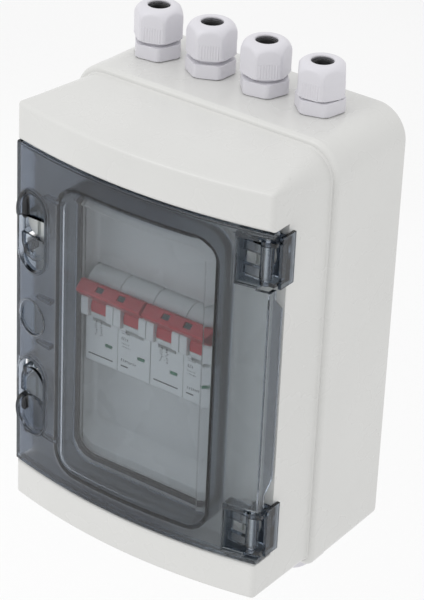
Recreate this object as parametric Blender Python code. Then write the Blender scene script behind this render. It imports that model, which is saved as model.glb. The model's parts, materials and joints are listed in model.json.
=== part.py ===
"""DC combiner box: wall-mounted IP65 plastic enclosure with a smoked door, four cable glands on
top, two below, and two 2-pole breakers on a DIN rail.

Axes: +X right, +Y into the wall, +Z up. The wall plane is Y = 0 and the box is centred on X = Z = 0.
All lengths below are millimetres; the objects are built in metres.
"""

import math

import bmesh
import bpy
from mathutils import Matrix, Vector

MM = 0.001
GAP = 0.3

# Enclosure
BOX_W, BOX_H = 140.0, 210.0
BASE_DEPTH = 54.0
BASE_BACK_SCALE = 0.993
BASE_CORNER_R, BASE_LOW_CORNER_R = 15.5, 5.0
BASE_WALL, BASE_FLOOR = 3.0, 3.0
RIM_ROUND = 2.6
RIM_INNER = 6.2
WALL_HOLE_X, WALL_HOLE_Z, WALL_HOLE_R = 48.0, 88.0, 2.6
GROOVE_OUT, GROOVE_IN, GROOVE_DEPTH = 3.0, 5.0, 2.0

# Cover: outline at the joint with the base, and at its bowed front
JOINT_Y = -BASE_DEPTH
COVER_JOINT_W, COVER_JOINT_H, COVER_JOINT_R, COVER_LOW_JOINT_R = 134.7, 204.0, 13.5, 4.0
COVER_FRONT_W, COVER_FRONT_H, COVER_FRONT_R = 135.6, 199.6, 1.8
COVER_SIDE_DEPTH = 42.4
FRONT_BOW = 8.4
COVER_EDGE_R = 1.6
COVER_WALL = 2.6
HALF_FRONT = COVER_FRONT_W / 2
CORNER_Y = JOINT_Y - COVER_SIDE_DEPTH
DECK_Y, DECK_T = -84.4, 2.2
DOORWAY_HALF_H = 81.7
DOORWAY_LIP = 2.2

# Well behind the window, with the slot for the breakers
WELL_FLOOR_Y, WELL_T = -77.0, 2.0
WELL_HALF_W, WELL_TOP_HALF_H, WELL_FLOOR_HALF_H = 38.0, 66.5, 57.0
SEAT_HALF_W, SEAT_HALF_H, SEAT_R, SEAT_LAND = 42.0, 72.0, 12.0, 3.6
SEAT_Y = -85.8

# Door
DOOR_HALF_H = 81.2
DOOR_T, DOOR_RETURN, DOOR_RETURN_T = 2.2, 5.0, 1.8
SKIRT_HALF_W, SKIRT_HALF_H, SKIRT_R, SKIRT_T = 40.0, 70.0, 11.0, 1.8
SKIRT_END_Y = -88.0
RIDGE_HALF_W, RIDGE_HALF_H, RIDGE_LAND, RIDGE_RISE = 41.6, 71.8, 3.2, 0.7
FLANGE_END_Y = -86.2
FLANGE_TOP, FLANGE_BOTTOM, FLANGE_SLANT = 49.0, -47.0, 6.0

# Hinges, at the right edge of the door
HINGE_Z = 66.5
HINGE_X, HINGE_Y = 63.5, -93.5
PIN_R, BARREL_R, BARREL_HALF = 1.1, 2.9, 7.8
ARM_IN, ARM_OUT = 8.2, 10.2
PLATE_HALF = 12.0

# Latch pockets, at the left edge of the door. Each has a tab at its inner end and a finger hollow at
# its outer end: (name, side, centres of the pocket's inner and outer ends, tab's end, hollow's start)
LATCH_X, LATCH_R = -57.3, 8.5
LATCHES = (
    ("upper", 1, 30.0, 51.0, 37.6, 46.5),
    ("lower", -1, 32.5, 53.5, 43.2, 44.4),
)
LATCH_PIVOT = (-50.3, -98.6)
LATCH_LEG_X, LATCH_LEG_T, LATCH_HOOK_Y = -63.6, 1.7, -87.4
CATCH_X, CATCH_LIP_X, CATCH_Y = -66.9, -64.95, -90.0
LOCK_Z, LOCK_R = -2.0, 8.3

# Cover screws: (name, x, z, y of the front of the head)
SCREW_HEAD_R, SCREW_HEAD_T, SCREW_R = 6.4, 4.0, 2.4
SCREW_POST_R, SCREW_COLLAR_R = 5.2, 8.0
SCREW_SLOT_HALF_W, SCREW_SLOT_DEPTH = 0.9, 1.6
COVER_SCREWS = (
    ("upper_left", -59.0, 41.5, -91.6),
    ("lower_left", -59.0, -43.0, -91.6),
    ("upper_right", 55.5, HINGE_Z, -88.6),
    ("lower_right", 55.5, -HINGE_Z, -88.6),
)

# DIN rail and breakers
RAIL_Z, RAIL_FRONT_Y, RAIL_DEPTH, RAIL_T = 2.0, -25.5, 7.5, 1.0
RAIL_HALF_L, RAIL_SCREW_X = 47.0, 41.0
RAIL_POST_R, RAIL_SCREW_R, RAIL_HEAD_R, RAIL_HEAD_T = 6.0, 2.0, 4.0, 2.6
RAIL_LIP_HALF, RAIL_LIP_END, RAIL_WEB_HALF = 17.5, 12.5, 13.5
MODULE = 18.0
BREAKER_BACK_Y, SHOULDER_Y, NOSE_Y = -20.5, -69.5, -85.5
NOSE_HALF, BREAKER_HALF = 22.5, 40.0
TERMINAL_Z, TERMINAL_R = 31.0, 3.4
TOGGLE_Y, TOGGLE_Z, TOGGLE_UP = -80.0, 8.4, 48.0
TOGGLE_R, TOGGLE_HALF_W, TOGGLE_SLOT_HALF_W = 8.0, 4.5, 4.9
TOGGLE_WINDOW_X, TOGGLE_WINDOW_HALF_W = 5.9, 1.9
EAR_IN, EAR_OUT, EAR_LOW, EAR_HIGH, EAR_RISE = 5.2, 8.6, 4.1, 14.6, 4.0
DIN_CLIP_TOP, DIN_CLIP_BOTTOM, DIN_CLIP_HALF_W = 14.2, 44.0, 6.0
DIN_CLIP_FRONT_Y, DIN_CLIP_BACK_Y = -24.2, -21.8

# Cable glands: (name, x, hex turn in degrees, nut turn, how far the nut stands off its hex)
GLAND_Y = -25.0
GLAND_AF, GLAND_THREAD_R, GLAND_BORE_R = 20.0, 8.0, 5.5
TOP_GLANDS = (
    ("gland_top_1", -47.0, 8.0, 20.0, 1.4),
    ("gland_top_2", -18.0, 27.0, 32.0, 1.6),
    ("gland_top_3", 11.0, 12.0, 42.0, 1.5),
    ("gland_top_4", 40.0, 18.0, 5.0, 0.4),
)
BOTTOM_GLANDS = (
    ("gland_bottom_1", -40.0, 10.0, 24.0, 1.4),
    ("gland_bottom_2", 40.0, 25.0, 50.0, 1.4),
)


def clear_scene():
    for obj in list(bpy.data.objects):
        bpy.data.objects.remove(obj, do_unlink=True)


def material(name, colour, roughness, metallic=0.0, alpha=1.0):
    made = bpy.data.materials.new(name)
    made.use_nodes = True
    shader = made.node_tree.nodes["Principled BSDF"]
    shader.inputs["Base Color"].default_value = (*colour, 1.0)
    shader.inputs["Roughness"].default_value = roughness
    shader.inputs["Metallic"].default_value = metallic
    shader.inputs["Alpha"].default_value = alpha
    made.diffuse_color = (*colour, alpha)
    return made


def solid(name, points, faces):
    """An object from points in millimetres, its faces turned outwards."""
    mesh = bpy.data.meshes.new(name)
    mesh.from_pydata([Vector(p) * MM for p in points], [], faces)
    shape = bmesh.new()
    shape.from_mesh(mesh)
    bmesh.ops.recalc_face_normals(shape, faces=shape.faces)
    shape.to_mesh(mesh)
    shape.free()
    obj = bpy.data.objects.new(name, mesh)
    bpy.context.scene.collection.objects.link(obj)
    return obj


def combine(obj, other, operation):
    """Boolean of obj with other, which is used up."""
    modifier = obj.modifiers.new("boolean", "BOOLEAN")
    modifier.operation = operation
    modifier.solver = "EXACT"
    modifier.object = other
    bpy.context.view_layer.update()
    graph = bpy.context.evaluated_depsgraph_get()
    result = bpy.data.meshes.new_from_object(obj.evaluated_get(graph))
    obj.modifiers.remove(modifier)
    old = obj.data
    obj.data = result
    bpy.data.meshes.remove(old)
    bpy.data.objects.remove(other, do_unlink=True)


def add(obj, *others):
    for other in others:
        combine(obj, other, "UNION")
    return obj


def cut(obj, *others):
    for other in others:
        combine(obj, other, "DIFFERENCE")
    return obj


def keep(obj, other):
    combine(obj, other, "INTERSECT")
    return obj


def finish(obj, paint, name=None, sharp=32.0):
    """Names the object, gives it its material and shades its round faces smooth."""
    if name:
        obj.name = name
    mesh = obj.data
    mesh.name = obj.name
    mesh.materials.clear()
    mesh.materials.append(paint)
    mesh.shade_smooth()
    mesh.set_sharp_from_angle(angle=math.radians(sharp))
    return obj


def set_origin(obj, x, y, z):
    """Moves the object's origin to a point in millimetres, leaving its shape in place."""
    at = Vector((x, y, z)) * MM
    obj.data.transform(Matrix.Translation(-at))
    obj.location = at
    return obj


def box(x0, x1, y0, y1, z0, z1):
    points = [(x, y, z) for x in (x0, x1) for y in (y0, y1) for z in (z0, z1)]
    faces = [(0, 1, 3, 2), (4, 6, 7, 5), (0, 4, 5, 1), (2, 3, 7, 6), (0, 2, 6, 4), (1, 5, 7, 3)]
    return solid("box", points, faces)


def loft(rings, looped=False):
    """A solid through rings of equally many points: capped at both ends, or joined end to end."""
    count = len(rings[0])
    points = [p for ring in rings for p in ring]
    faces = []
    for k in range(len(rings) - (not looped)):
        low = k * count
        high = (k + 1) % len(rings) * count
        for i in range(count):
            j = (i + 1) % count
            faces.append((low + i, low + j, high + j, high + i))
    if not looped:
        faces.append(tuple(range(count)))
        faces.append(tuple(range((len(rings) - 1) * count, len(rings) * count)))
    return solid("loft", points, faces)


def prism_x(section, x0, x1):
    """A (y, z) polygon pushed along X."""
    return loft([[(x, y, z) for y, z in section] for x in (x0, x1)])


def prism_y(outline, y0, y1):
    """An (x, z) polygon pushed along Y."""
    return loft([[(x, y, z) for x, z in outline] for y in (y0, y1)])


def circle(x, z, radius, steps):
    return [
        (x + radius * math.cos(2 * math.pi * k / steps), z + radius * math.sin(2 * math.pi * k / steps))
        for k in range(steps)
    ]


def rod_y(x, z, radius, y0, y1, steps=20):
    return prism_y(circle(x, z, radius, steps), y0, y1)


def rod_z(x, y, radius, z0, z1, steps=20):
    return loft([[(px, py, z) for px, py in circle(x, y, radius, steps)] for z in (z0, z1)])


def rod_x(y, z, radius, x0, x1, steps=20):
    return prism_x(circle(y, z, radius, steps), x0, x1)


def rounded(half_w, half_h, radius, corner=5, across=1, low_radius=None):
    """Closed (x, z) outline. With one radius, point i and its mirror -1 - i share one x."""

    def half(r):
        r = max(r, 0.4)
        points = []
        for k in range(corner + 1):
            a = math.pi - math.pi / 2 * k / corner
            points.append((-half_w + r + r * math.cos(a), half_h - r + r * math.sin(a)))
        for k in range(1, across):
            points.append(((half_w - r) * (2 * k / across - 1), half_h))
        for k in range(corner + 1):
            a = math.pi / 2 - math.pi / 2 * k / corner
            points.append((half_w - r + r * math.cos(a), half_h - r + r * math.sin(a)))
        return points

    low = half(radius if low_radius is None else low_radius)
    return half(radius) + [(x, -z) for x, z in reversed(low)]


def obround(x, z0, z1, radius, steps=8):
    """Closed (x, z) outline of a slot standing on its end."""
    top = [math.pi * k / steps for k in range(steps + 1)]
    points = [(x + radius * math.cos(a), z1 + radius * math.sin(a)) for a in top]
    return points + [(x - radius * math.cos(a), z0 - radius * math.sin(a)) for a in top]


def front_y(x, inwards=0.0):
    """Y of the bowed front surface above x."""
    return CORNER_Y - FRONT_BOW * (1 - (x / HALF_FRONT) ** 2) + inwards


def stations(x0, x1, steps):
    return [x0 + (x1 - x0) * k / steps for k in range(steps + 1)]


def sweep_x(xs, section):
    """A solid whose (y, z) section at each x is section(x)."""
    return loft([[(x, y, z) for y, z in section(x)] for x in xs])


def bowed_slab(x0, x1, z0, z1, inwards, thickness, steps=14):
    """A plate that follows the front surface, its outer face lying inwards of it."""

    def section(x):
        outer = front_y(x, inwards)
        inner = outer + thickness
        return [(outer, z0), (outer, z1), (inner, z1), (inner, z0)]

    return sweep_x(stations(x0, x1, steps), section)


def base_rings():
    """Rings of the base, from the wall round the rim and down to its floor inside."""

    def ring(y, inset, scale=1.0):
        half_w, half_h = BOX_W / 2 * scale - inset, BOX_H / 2 * scale - inset
        outline = rounded(half_w, half_h, BASE_CORNER_R - inset, low_radius=BASE_LOW_CORNER_R - inset)
        return [(x, y, z) for x, z in outline]

    back_round = 1.2
    rings = [
        ring(0.0, back_round, BASE_BACK_SCALE),
        ring(-back_round * 0.3, back_round * 0.3, BASE_BACK_SCALE),
        ring(-back_round, 0.0, BASE_BACK_SCALE),
        ring(JOINT_Y + RIM_ROUND, 0.0),
    ]
    for k in range(1, 4):
        a = math.pi / 2 * k / 3
        rings.append(ring(JOINT_Y + RIM_ROUND * (1 - math.sin(a)), RIM_ROUND * (1 - math.cos(a))))
    rings += [
        ring(JOINT_Y, GROOVE_OUT),
        ring(JOINT_Y + GROOVE_DEPTH, GROOVE_OUT),
        ring(JOINT_Y + GROOVE_DEPTH, GROOVE_IN),
        ring(JOINT_Y, GROOVE_IN),
        ring(JOINT_Y, RIM_INNER),
        ring(JOINT_Y + 5.0, RIM_INNER),
        ring(JOINT_Y + 8.5, BASE_WALL),
        ring(-BASE_FLOOR - 3.0, BASE_WALL, BASE_BACK_SCALE),
        ring(-BASE_FLOOR, BASE_WALL + 3.0, BASE_BACK_SCALE),
    ]
    return rings


def wall_half_height(y):
    """Half the outside height of the base at depth y, with its draft."""
    share = y / JOINT_Y
    return BOX_H / 2 * (BASE_BACK_SCALE + (1 - BASE_BACK_SCALE) * share)


def build_base(paint):
    base = loft(base_rings())
    floor = -BASE_FLOOR + 1.0
    for _, x, z, _ in COVER_SCREWS:
        add(base, rod_y(x, z, SCREW_POST_R, floor, JOINT_Y, 16))
    rail_seat = RAIL_FRONT_Y + RAIL_DEPTH + GAP
    for side in (-1, 1):
        add(base, rod_y(side * RAIL_SCREW_X, RAIL_Z, RAIL_POST_R, floor, rail_seat, 16))
    for _, x, z, _ in COVER_SCREWS:
        cut(base, rod_y(x, z, SCREW_R + GAP, JOINT_Y - 1.0, JOINT_Y + 32.0, 16))
    for side in (-1, 1):
        cut(base, rod_y(side * RAIL_SCREW_X, RAIL_Z, RAIL_SCREW_R + GAP, RAIL_FRONT_Y, -7.0, 12))
        for end in (-1, 1):
            x, z = side * WALL_HOLE_X, end * WALL_HOLE_Z
            cut(base, rod_y(x, z, WALL_HOLE_R, -BASE_FLOOR - 2.0, 2.0, 14))
    hole_r = GLAND_THREAD_R + 2 * GAP
    for _, x, *_ in TOP_GLANDS:
        cut(base, rod_z(x, GLAND_Y, hole_r, BOX_H / 2 - 10.0, BOX_H / 2 + 5.0, 24))
    for _, x, *_ in BOTTOM_GLANDS:
        cut(base, rod_z(x, GLAND_Y, hole_r, -BOX_H / 2 - 5.0, -BOX_H / 2 + 10.0, 24))
    return finish(base, paint, "base")


def build_cover_gasket(paint):
    rings = []
    near, far = JOINT_Y + 0.1, JOINT_Y + GROOVE_DEPTH - GAP
    for y, inset in ((near, 3.3), (near, 4.7), (far, 4.7), (far, 3.3)):
        half_w, half_h = BOX_W / 2 - inset, BOX_H / 2 - inset
        outline = rounded(half_w, half_h, BASE_CORNER_R - inset, low_radius=BASE_LOW_CORNER_R - inset)
        rings.append([(x, y, z) for x, z in outline])
    return finish(loft(rings, looped=True), paint, "cover_gasket")


def cover_shell():
    """The outside of the cover as one solid, from the joint to the bowed front."""
    steps = 14

    def ring(share, inset, back):
        half_w = (COVER_JOINT_W + (COVER_FRONT_W - COVER_JOINT_W) * share) / 2 - inset
        half_h = (COVER_JOINT_H + (COVER_FRONT_H - COVER_JOINT_H) * share) / 2 - inset
        radius = COVER_JOINT_R + (COVER_FRONT_R - COVER_JOINT_R) * share - inset
        low_radius = COVER_LOW_JOINT_R + (COVER_FRONT_R - COVER_LOW_JOINT_R) * share - inset
        joint = JOINT_Y - GAP
        points = []
        for x, z in rounded(half_w, half_h, radius, 4, steps, low_radius):
            points.append((x, joint + (front_y(x) - joint) * share + back, z))
        return points

    rings = [ring(0.0, 0.0, 0.0), ring(0.96, 0.0, 0.0)]
    rings.append(ring(1.0, COVER_EDGE_R * 0.3, COVER_EDGE_R * 0.3))
    rings.append(ring(1.0, COVER_EDGE_R, 0.0))
    count = len(rings[0])
    points = [p for r in rings for p in r]
    faces = [tuple(range(count))]
    for k in range(len(rings) - 1):
        for i in range(count):
            j = (i + 1) % count
            faces.append((k * count + i, k * count + j, (k + 1) * count + j, (k + 1) * count + i))
    last = (len(rings) - 1) * count
    for i in range(count // 2 - 1):
        faces.append((last + i, last + i + 1, last + count - 2 - i, last + count - 1 - i))
    return solid("cover", points, faces)


def doorway_cutter():
    """What the door takes up: everything in front of the deck, with a rounded lip above and below."""

    def section(x):
        surface = front_y(x)
        side = [(DECK_Y, DOORWAY_HALF_H)]
        for k in range(4):
            a = math.pi / 2 * k / 3
            z = DOORWAY_HALF_H + DOORWAY_LIP * (1 - math.cos(a))
            side.append((surface + DOORWAY_LIP * (1 - math.sin(a)), z))
        side.append((surface - 6.0, DOORWAY_HALF_H + DOORWAY_LIP))
        return side + [(y, -z) for y, z in reversed(side)]

    return sweep_x(stations(-HALF_FRONT - 2, HALF_FRONT + 2, 16), section)


def seat_ring(half_w, half_h, radius, land, y0, y1):
    rings = []
    for y, inset in ((y0, 0.0), (y0, land), (y1, land), (y1, 0.0)):
        outline = rounded(half_w - inset, half_h - inset, radius - inset, 4)
        rings.append([(x, y, z) for x, z in outline])
    return loft(rings, looped=True)


def build_cover(paint):
    cover = cover_shell()
    inner_w, inner_h = COVER_JOINT_W / 2 - COVER_WALL, COVER_JOINT_H / 2 - COVER_WALL
    back = DECK_Y + DECK_T
    inner_r, low_r = COVER_JOINT_R - COVER_WALL, COVER_LOW_JOINT_R - COVER_WALL
    cavity = loft([
        [(x, JOINT_Y + 2.0, z) for x, z in rounded(inner_w, inner_h, inner_r, 4, low_radius=low_r)],
        [(x, back, z) for x, z in rounded(inner_w, inner_h - 1.4, 3.0, 4)],
    ])
    cut(cover, cavity)
    for side in (-1, 1):
        near, far = DOORWAY_HALF_H + COVER_WALL, COVER_FRONT_H / 2 - COVER_WALL

        def hollow(x, side=side, near=near, far=far):
            deep, surface = back + 0.5, front_y(x, COVER_WALL)
            return [(deep, side * near), (surface, side * near), (surface, side * far), (deep, side * far)]

        cut(cover, sweep_x(stations(-inner_w, inner_w, 12), hollow))
    cut(cover, doorway_cutter())

    pan = loft([
        [(x, DECK_Y + 0.6, z) for x, z in rounded(WELL_HALF_W + 2, WELL_TOP_HALF_H + 2, 10.0, 4)],
        [(x, WELL_FLOOR_Y + WELL_T, z) for x, z in rounded(WELL_HALF_W + 1.6, WELL_FLOOR_HALF_H + 2, 8.0, 4)],
    ])
    add(cover, pan)
    add(cover, seat_ring(SEAT_HALF_W, SEAT_HALF_H, SEAT_R, SEAT_LAND, DECK_Y + 0.5, SEAT_Y))
    for _, x, z, head_y in COVER_SCREWS:
        rim_y = head_y + SCREW_HEAD_T / 2
        add(cover, rod_y(x, z, SCREW_POST_R, back - 0.5, JOINT_Y - GAP, 16))
        add(cover, rod_y(x, z, SCREW_COLLAR_R, DECK_Y + 0.5, rim_y, 24))
    for _, side, inner, *_ in LATCHES:
        z0, z1 = sorted((side * (inner - 4.5), side * (inner + 1.3)))
        add(cover, box(CATCH_X, CATCH_X + 1.6, CATCH_Y, DECK_Y + 0.5, z0, z1))
        add(cover, box(CATCH_X + 1.3, CATCH_LIP_X, CATCH_Y, CATCH_Y + 0.8, z0, z1))

    well = loft([
        [(x, SEAT_Y - 3.0, z) for x, z in rounded(WELL_HALF_W + 0.3, WELL_TOP_HALF_H + 2.4, 9.0, 4)],
        [(x, WELL_FLOOR_Y, z) for x, z in rounded(WELL_HALF_W - 0.4, WELL_FLOOR_HALF_H, 7.0, 4)],
    ])
    cut(cover, well)
    slot_low, slot_high = RAIL_Z - NOSE_HALF - 0.5, RAIL_Z + NOSE_HALF + 0.5
    cut(cover, box(-2 * MODULE - 0.5, 2 * MODULE + 0.5, -84.0, -70.0, slot_low, slot_high))
    for _, x, z, head_y in COVER_SCREWS:
        cut(cover, rod_y(x, z, SCREW_R + GAP, head_y - 4.0, JOINT_Y + 2.0, 16))
        cut(cover, rod_y(x, z, SCREW_HEAD_R + GAP, head_y - 2.0, head_y + SCREW_HEAD_T + GAP, 24))
    return finish(cover, paint, "front_cover")


def build_cover_screws(paint):
    for name, x, z, head_y in COVER_SCREWS:
        screw = rod_y(x, z, SCREW_HEAD_R, head_y, head_y + SCREW_HEAD_T, 24)
        add(screw, rod_y(x, z, SCREW_R, head_y + SCREW_HEAD_T - 0.5, JOINT_Y + 28.0, 12))
        x0, x1 = x - SCREW_SLOT_HALF_W, x + SCREW_SLOT_HALF_W
        cut(screw, box(x0, x1, head_y - 1.0, head_y + SCREW_SLOT_DEPTH, z - 8.0, z + 8.0))
        set_origin(finish(screw, paint, "cover_screw_" + name), x, head_y, z)


def door_section(x):
    surface = front_y(x)
    top, soft = DOOR_HALF_H, 0.7
    half = [
        (surface + DOOR_RETURN, top - DOOR_RETURN_T),
        (surface + DOOR_RETURN, top),
        (surface + soft, top),
        (surface, top - soft),
    ]
    inner = [(surface + DOOR_T, -top + DOOR_RETURN_T), (surface + DOOR_T, top - DOOR_RETURN_T)]
    return half + [(y, -z) for y, z in reversed(half)] + inner


def build_door(paint):
    door = sweep_x(stations(-HALF_FRONT, HALF_FRONT, 18), door_section)
    inner_x = HALF_FRONT - DOOR_RETURN_T
    for side in (-1, 1):
        x0, x1 = sorted((side * inner_x, side * HALF_FRONT))
        add(door, bowed_slab(x0, x1, -DOOR_HALF_H + 0.8, DOOR_HALF_H - 0.8, 0.2, DOOR_RETURN - 0.2, 1))
    flange = [
        (CORNER_Y + 1.5, FLANGE_TOP),
        (CORNER_Y + DOOR_RETURN, FLANGE_TOP),
        (FLANGE_END_Y, FLANGE_TOP - FLANGE_SLANT),
        (FLANGE_END_Y, FLANGE_BOTTOM + FLANGE_SLANT),
        (CORNER_Y + DOOR_RETURN, FLANGE_BOTTOM),
        (CORNER_Y + 1.5, FLANGE_BOTTOM),
    ]
    add(door, prism_x(flange, inner_x, HALF_FRONT))

    skirt = seat_ring(SKIRT_HALF_W, SKIRT_HALF_H, SKIRT_R, SKIRT_T, SKIRT_END_Y, -110.0)
    keep(skirt, bowed_slab(-60, 60, -80, 80, DOOR_T - 0.6, 40.0, 12))
    add(door, skirt)
    ridge = seat_ring(RIDGE_HALF_W, RIDGE_HALF_H, SKIRT_R + 1, RIDGE_LAND, -98.0, -112.0)
    keep(ridge, bowed_slab(-60, 60, -80, 80, -RIDGE_RISE, RIDGE_RISE + 1.0, 14))
    add(door, ridge)
    for z in (6.5, -16.5, 60.5, -60.5):
        add(door, box(-50.0 + 2.5 * (abs(z) > 30), -39.6, front_y(-42) + 0.8, -92.0, z - 0.8, z + 0.8))

    for _, side, inner, outer, _, hollow in LATCHES:
        z0, z1 = sorted((side * inner, side * outer))
        rim = prism_y(obround(LATCH_X, z0, z1, LATCH_R + 1.3), -91.0, -108.0)
        keep(rim, bowed_slab(-67.0, -40, -70, 70, -0.5, 4.0, 8))
        add(door, rim)
        cut(door, prism_y(obround(LATCH_X, z0, z1, LATCH_R), -85.0, -110.0))
        add(door, latch_scoop(side, outer, hollow))
    ring = rod_y(LATCH_X, LOCK_Z, LOCK_R + 0.9, -95.0, -108.0, 28)
    keep(ring, bowed_slab(-67.0, -40, -20, 20, -0.3, 3.0, 8))
    add(door, ring)
    cut(door, rod_y(LATCH_X, LOCK_Z, LOCK_R, -90.0, -110.0, 28))

    for side in (-1, 1):
        add_hinge_pocket(door, side * HINGE_Z)
    return set_origin(finish(door, paint, "door"), HINGE_X, HINGE_Y, 0.0)


def latch_scoop(side, outer, start):
    """The finger hollow that fills the outer end of a latch pocket, from z = start outwards."""
    centre_z = side * (outer - 1.5)

    def dome(width, depth, height):
        rings = []
        for k in range(1, 8):
            a = math.pi * k / 8
            turned = [
                (
                    LATCH_X + width * math.sin(a) * math.cos(b),
                    front_y(LATCH_X) + depth * math.sin(a) * math.sin(b),
                    centre_z - height * math.cos(a),
                )
                for b in (math.pi * 2 * m / 16 for m in range(16))
            ]
            rings.append(turned)
        return loft(rings)

    scoop = dome(9.4, 5.6, 11.4)
    cut(scoop, dome(7.6, 4.0, 9.6))
    low, high = sorted((side * start, side * (outer + 12)))
    keep(scoop, box(-67.0, -40.0, front_y(LATCH_X) + 0.3, -85.0, low, high))
    return scoop


def add_hinge_pocket(door, z):
    """A pocket at the door's right edge, open to the side, with a barrel for the hinge pin."""
    left, wall, half, opening = 52.2, 1.6, ARM_OUT + 0.4, PLATE_HALF + 0.5
    frame = box(left - wall, HALF_FRONT - 6.0, -104.0, -91.5, z - half - wall, z + half + wall)
    keep(frame, bowed_slab(left - 5, HALF_FRONT, z - 15, z + 15, -0.6, 9.0, 4))
    add(door, frame)
    cut(door, box(left, HALF_FRONT + 3.0, -108.0, -80.0, z - half, z + half))
    cut(door, box(HALF_FRONT - 6.0, HALF_FRONT + 3.0, -108.0, -80.0, z - opening, z + opening))
    for side in (-1, 1):
        z0, z1 = sorted((z + side * 3.2, z + side * BARREL_HALF))
        add(door, box(left - 0.8, HINGE_X - 1.0, HINGE_Y - 2.2, HINGE_Y + 0.2, z0, z1))
    add(door, rod_z(HINGE_X, HINGE_Y, BARREL_R, z - BARREL_HALF, z + BARREL_HALF, 20))
    cut(door, rod_z(HINGE_X, HINGE_Y, PIN_R + GAP, z - BARREL_HALF - 2, z + BARREL_HALF + 2, 16))


def build_hinges(smoked, steel):
    for name, z in (("upper", HINGE_Z), ("lower", -HINGE_Z)):
        plate_x, plate_t, foot_half = HALF_FRONT + 0.35, 1.6, 10.2
        clip = box(plate_x, plate_x + plate_t, -91.6, -82.2, z - PLATE_HALF, z + PLATE_HALF)
        for side in (-1, 1):
            z0, z1 = sorted((z + side * ARM_IN, z + side * ARM_OUT))
            add(clip, box(HINGE_X, plate_x + 0.5, -95.0, -88.0, z0, z1))
            add(clip, rod_z(HINGE_X, HINGE_Y, BARREL_R, z0, z1, 20))
        add(clip, box(59.0, plate_x + 0.5, -87.6, DECK_Y - GAP, z - foot_half, z + foot_half))
        cut(clip, rod_y(COVER_SCREWS[-1][1], z, SCREW_COLLAR_R + 0.6, -90.0, -80.0, 20))
        cut(clip, rod_z(HINGE_X, HINGE_Y, PIN_R + GAP, z - 15, z + 15, 16))
        finish(clip, smoked, "hinge_clip_" + name)
        pin = rod_z(HINGE_X, HINGE_Y, PIN_R, z - ARM_OUT - 0.6, z + ARM_OUT + 0.6, 14)
        finish(pin, steel, "hinge_pin_" + name)


def build_latches(paint):
    for name, side, inner, _, end, _ in LATCHES:
        z0, z1 = sorted((side * (inner + 4.5), side * 50.0))
        tab = prism_y(obround(LATCH_X, z0, z1, LATCH_R - 0.5), -92.0, -108.0)
        keep(tab, bowed_slab(-66.5, -45.0, -70, 70, 0.8, 1.7, 8))
        low, high = sorted((side * end, side * 70))
        cut(tab, box(-70.0, -45.0, -110.0, -80.0, low, high))
        z0, z1 = sorted((side * (inner - 2.5), side * (inner + 2.0)))
        add(tab, box(LATCH_LEG_X, LATCH_LEG_X + LATCH_LEG_T, -96.8, LATCH_HOOK_Y, z0, z1))
        add(tab, box(LATCH_LEG_X - 1.0, LATCH_LEG_X + 0.6, LATCH_HOOK_Y - 1.5, LATCH_HOOK_Y, z0, z1))
        set_origin(finish(tab, paint, "latch_" + name), *LATCH_PIVOT, side * inner)


def build_lock_plug(paint):
    plug = rod_y(LATCH_X, LOCK_Z, LOCK_R - GAP, -90.0, -108.0, 28)
    keep(plug, bowed_slab(-66.8, -45.0, -20, 20, 0.2, 1.8, 8))
    return finish(plug, paint, "lock_hole_plug")


def build_door_gasket(paint):
    spread, land = 0.5, 2.6
    half_w, half_h, radius = SKIRT_HALF_W + spread, SKIRT_HALF_H + spread, SKIRT_R + spread
    gasket = seat_ring(half_w, half_h, radius, land, SEAT_Y - GAP, SKIRT_END_Y + GAP)
    return finish(gasket, paint, "door_gasket")


def build_rail(steel, zinc):
    front, back, t = RAIL_FRONT_Y, RAIL_FRONT_Y + RAIL_DEPTH, RAIL_T
    lip, end, web = RAIL_LIP_HALF, RAIL_LIP_END, RAIL_WEB_HALF
    head_back = back - t - GAP
    upper = [(front + t, lip), (front, lip), (front, end), (back - t, end)]
    lower = [(front + t, -web), (back, -web)]
    section = upper + [(y, -z) for y, z in reversed(upper)] + lower + [(y, -z) for y, z in reversed(lower)]
    rail = prism_x([(y, z + RAIL_Z) for y, z in section], -RAIL_HALF_L, RAIL_HALF_L)
    for name, side in (("left", -1), ("right", 1)):
        x = side * RAIL_SCREW_X
        cut(rail, rod_y(x, RAIL_Z, 2.6, front, back + 3.0, 14))
        screw = rod_y(x, RAIL_Z, RAIL_HEAD_R, head_back - RAIL_HEAD_T, head_back, 18)
        add(screw, rod_y(x, RAIL_Z, RAIL_SCREW_R, head_back - 0.5, back + 8.0, 12))
        cut(screw, box(x - 0.5, x + 0.5, back - 6.0, head_back - 1.4, RAIL_Z - 5.0, RAIL_Z + 5.0))
        finish(screw, zinc, "din_rail_screw_" + name)
    return finish(rail, steel, "din_rail")


def breaker_section():
    top, nose = BREAKER_HALF, NOSE_HALF
    slot = 17.9
    return [
        (BREAKER_BACK_Y, top),
        (SHOULDER_Y, top),
        (SHOULDER_Y, nose),
        (-77.5, nose),
        (-80.6, nose - 0.8),
        (-83.6, nose - 3.4),
        (NOSE_Y, nose - 7.0),
        (NOSE_Y, -nose + 0.8),
        (NOSE_Y + 0.8, -nose),
        (SHOULDER_Y, -nose),
        (SHOULDER_Y, -top),
        (BREAKER_BACK_Y, -top),
        (BREAKER_BACK_Y, -slot),
        (RAIL_FRONT_Y - GAP, -slot),
        (RAIL_FRONT_Y - GAP, slot),
        (BREAKER_BACK_Y, slot),
    ]


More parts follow.
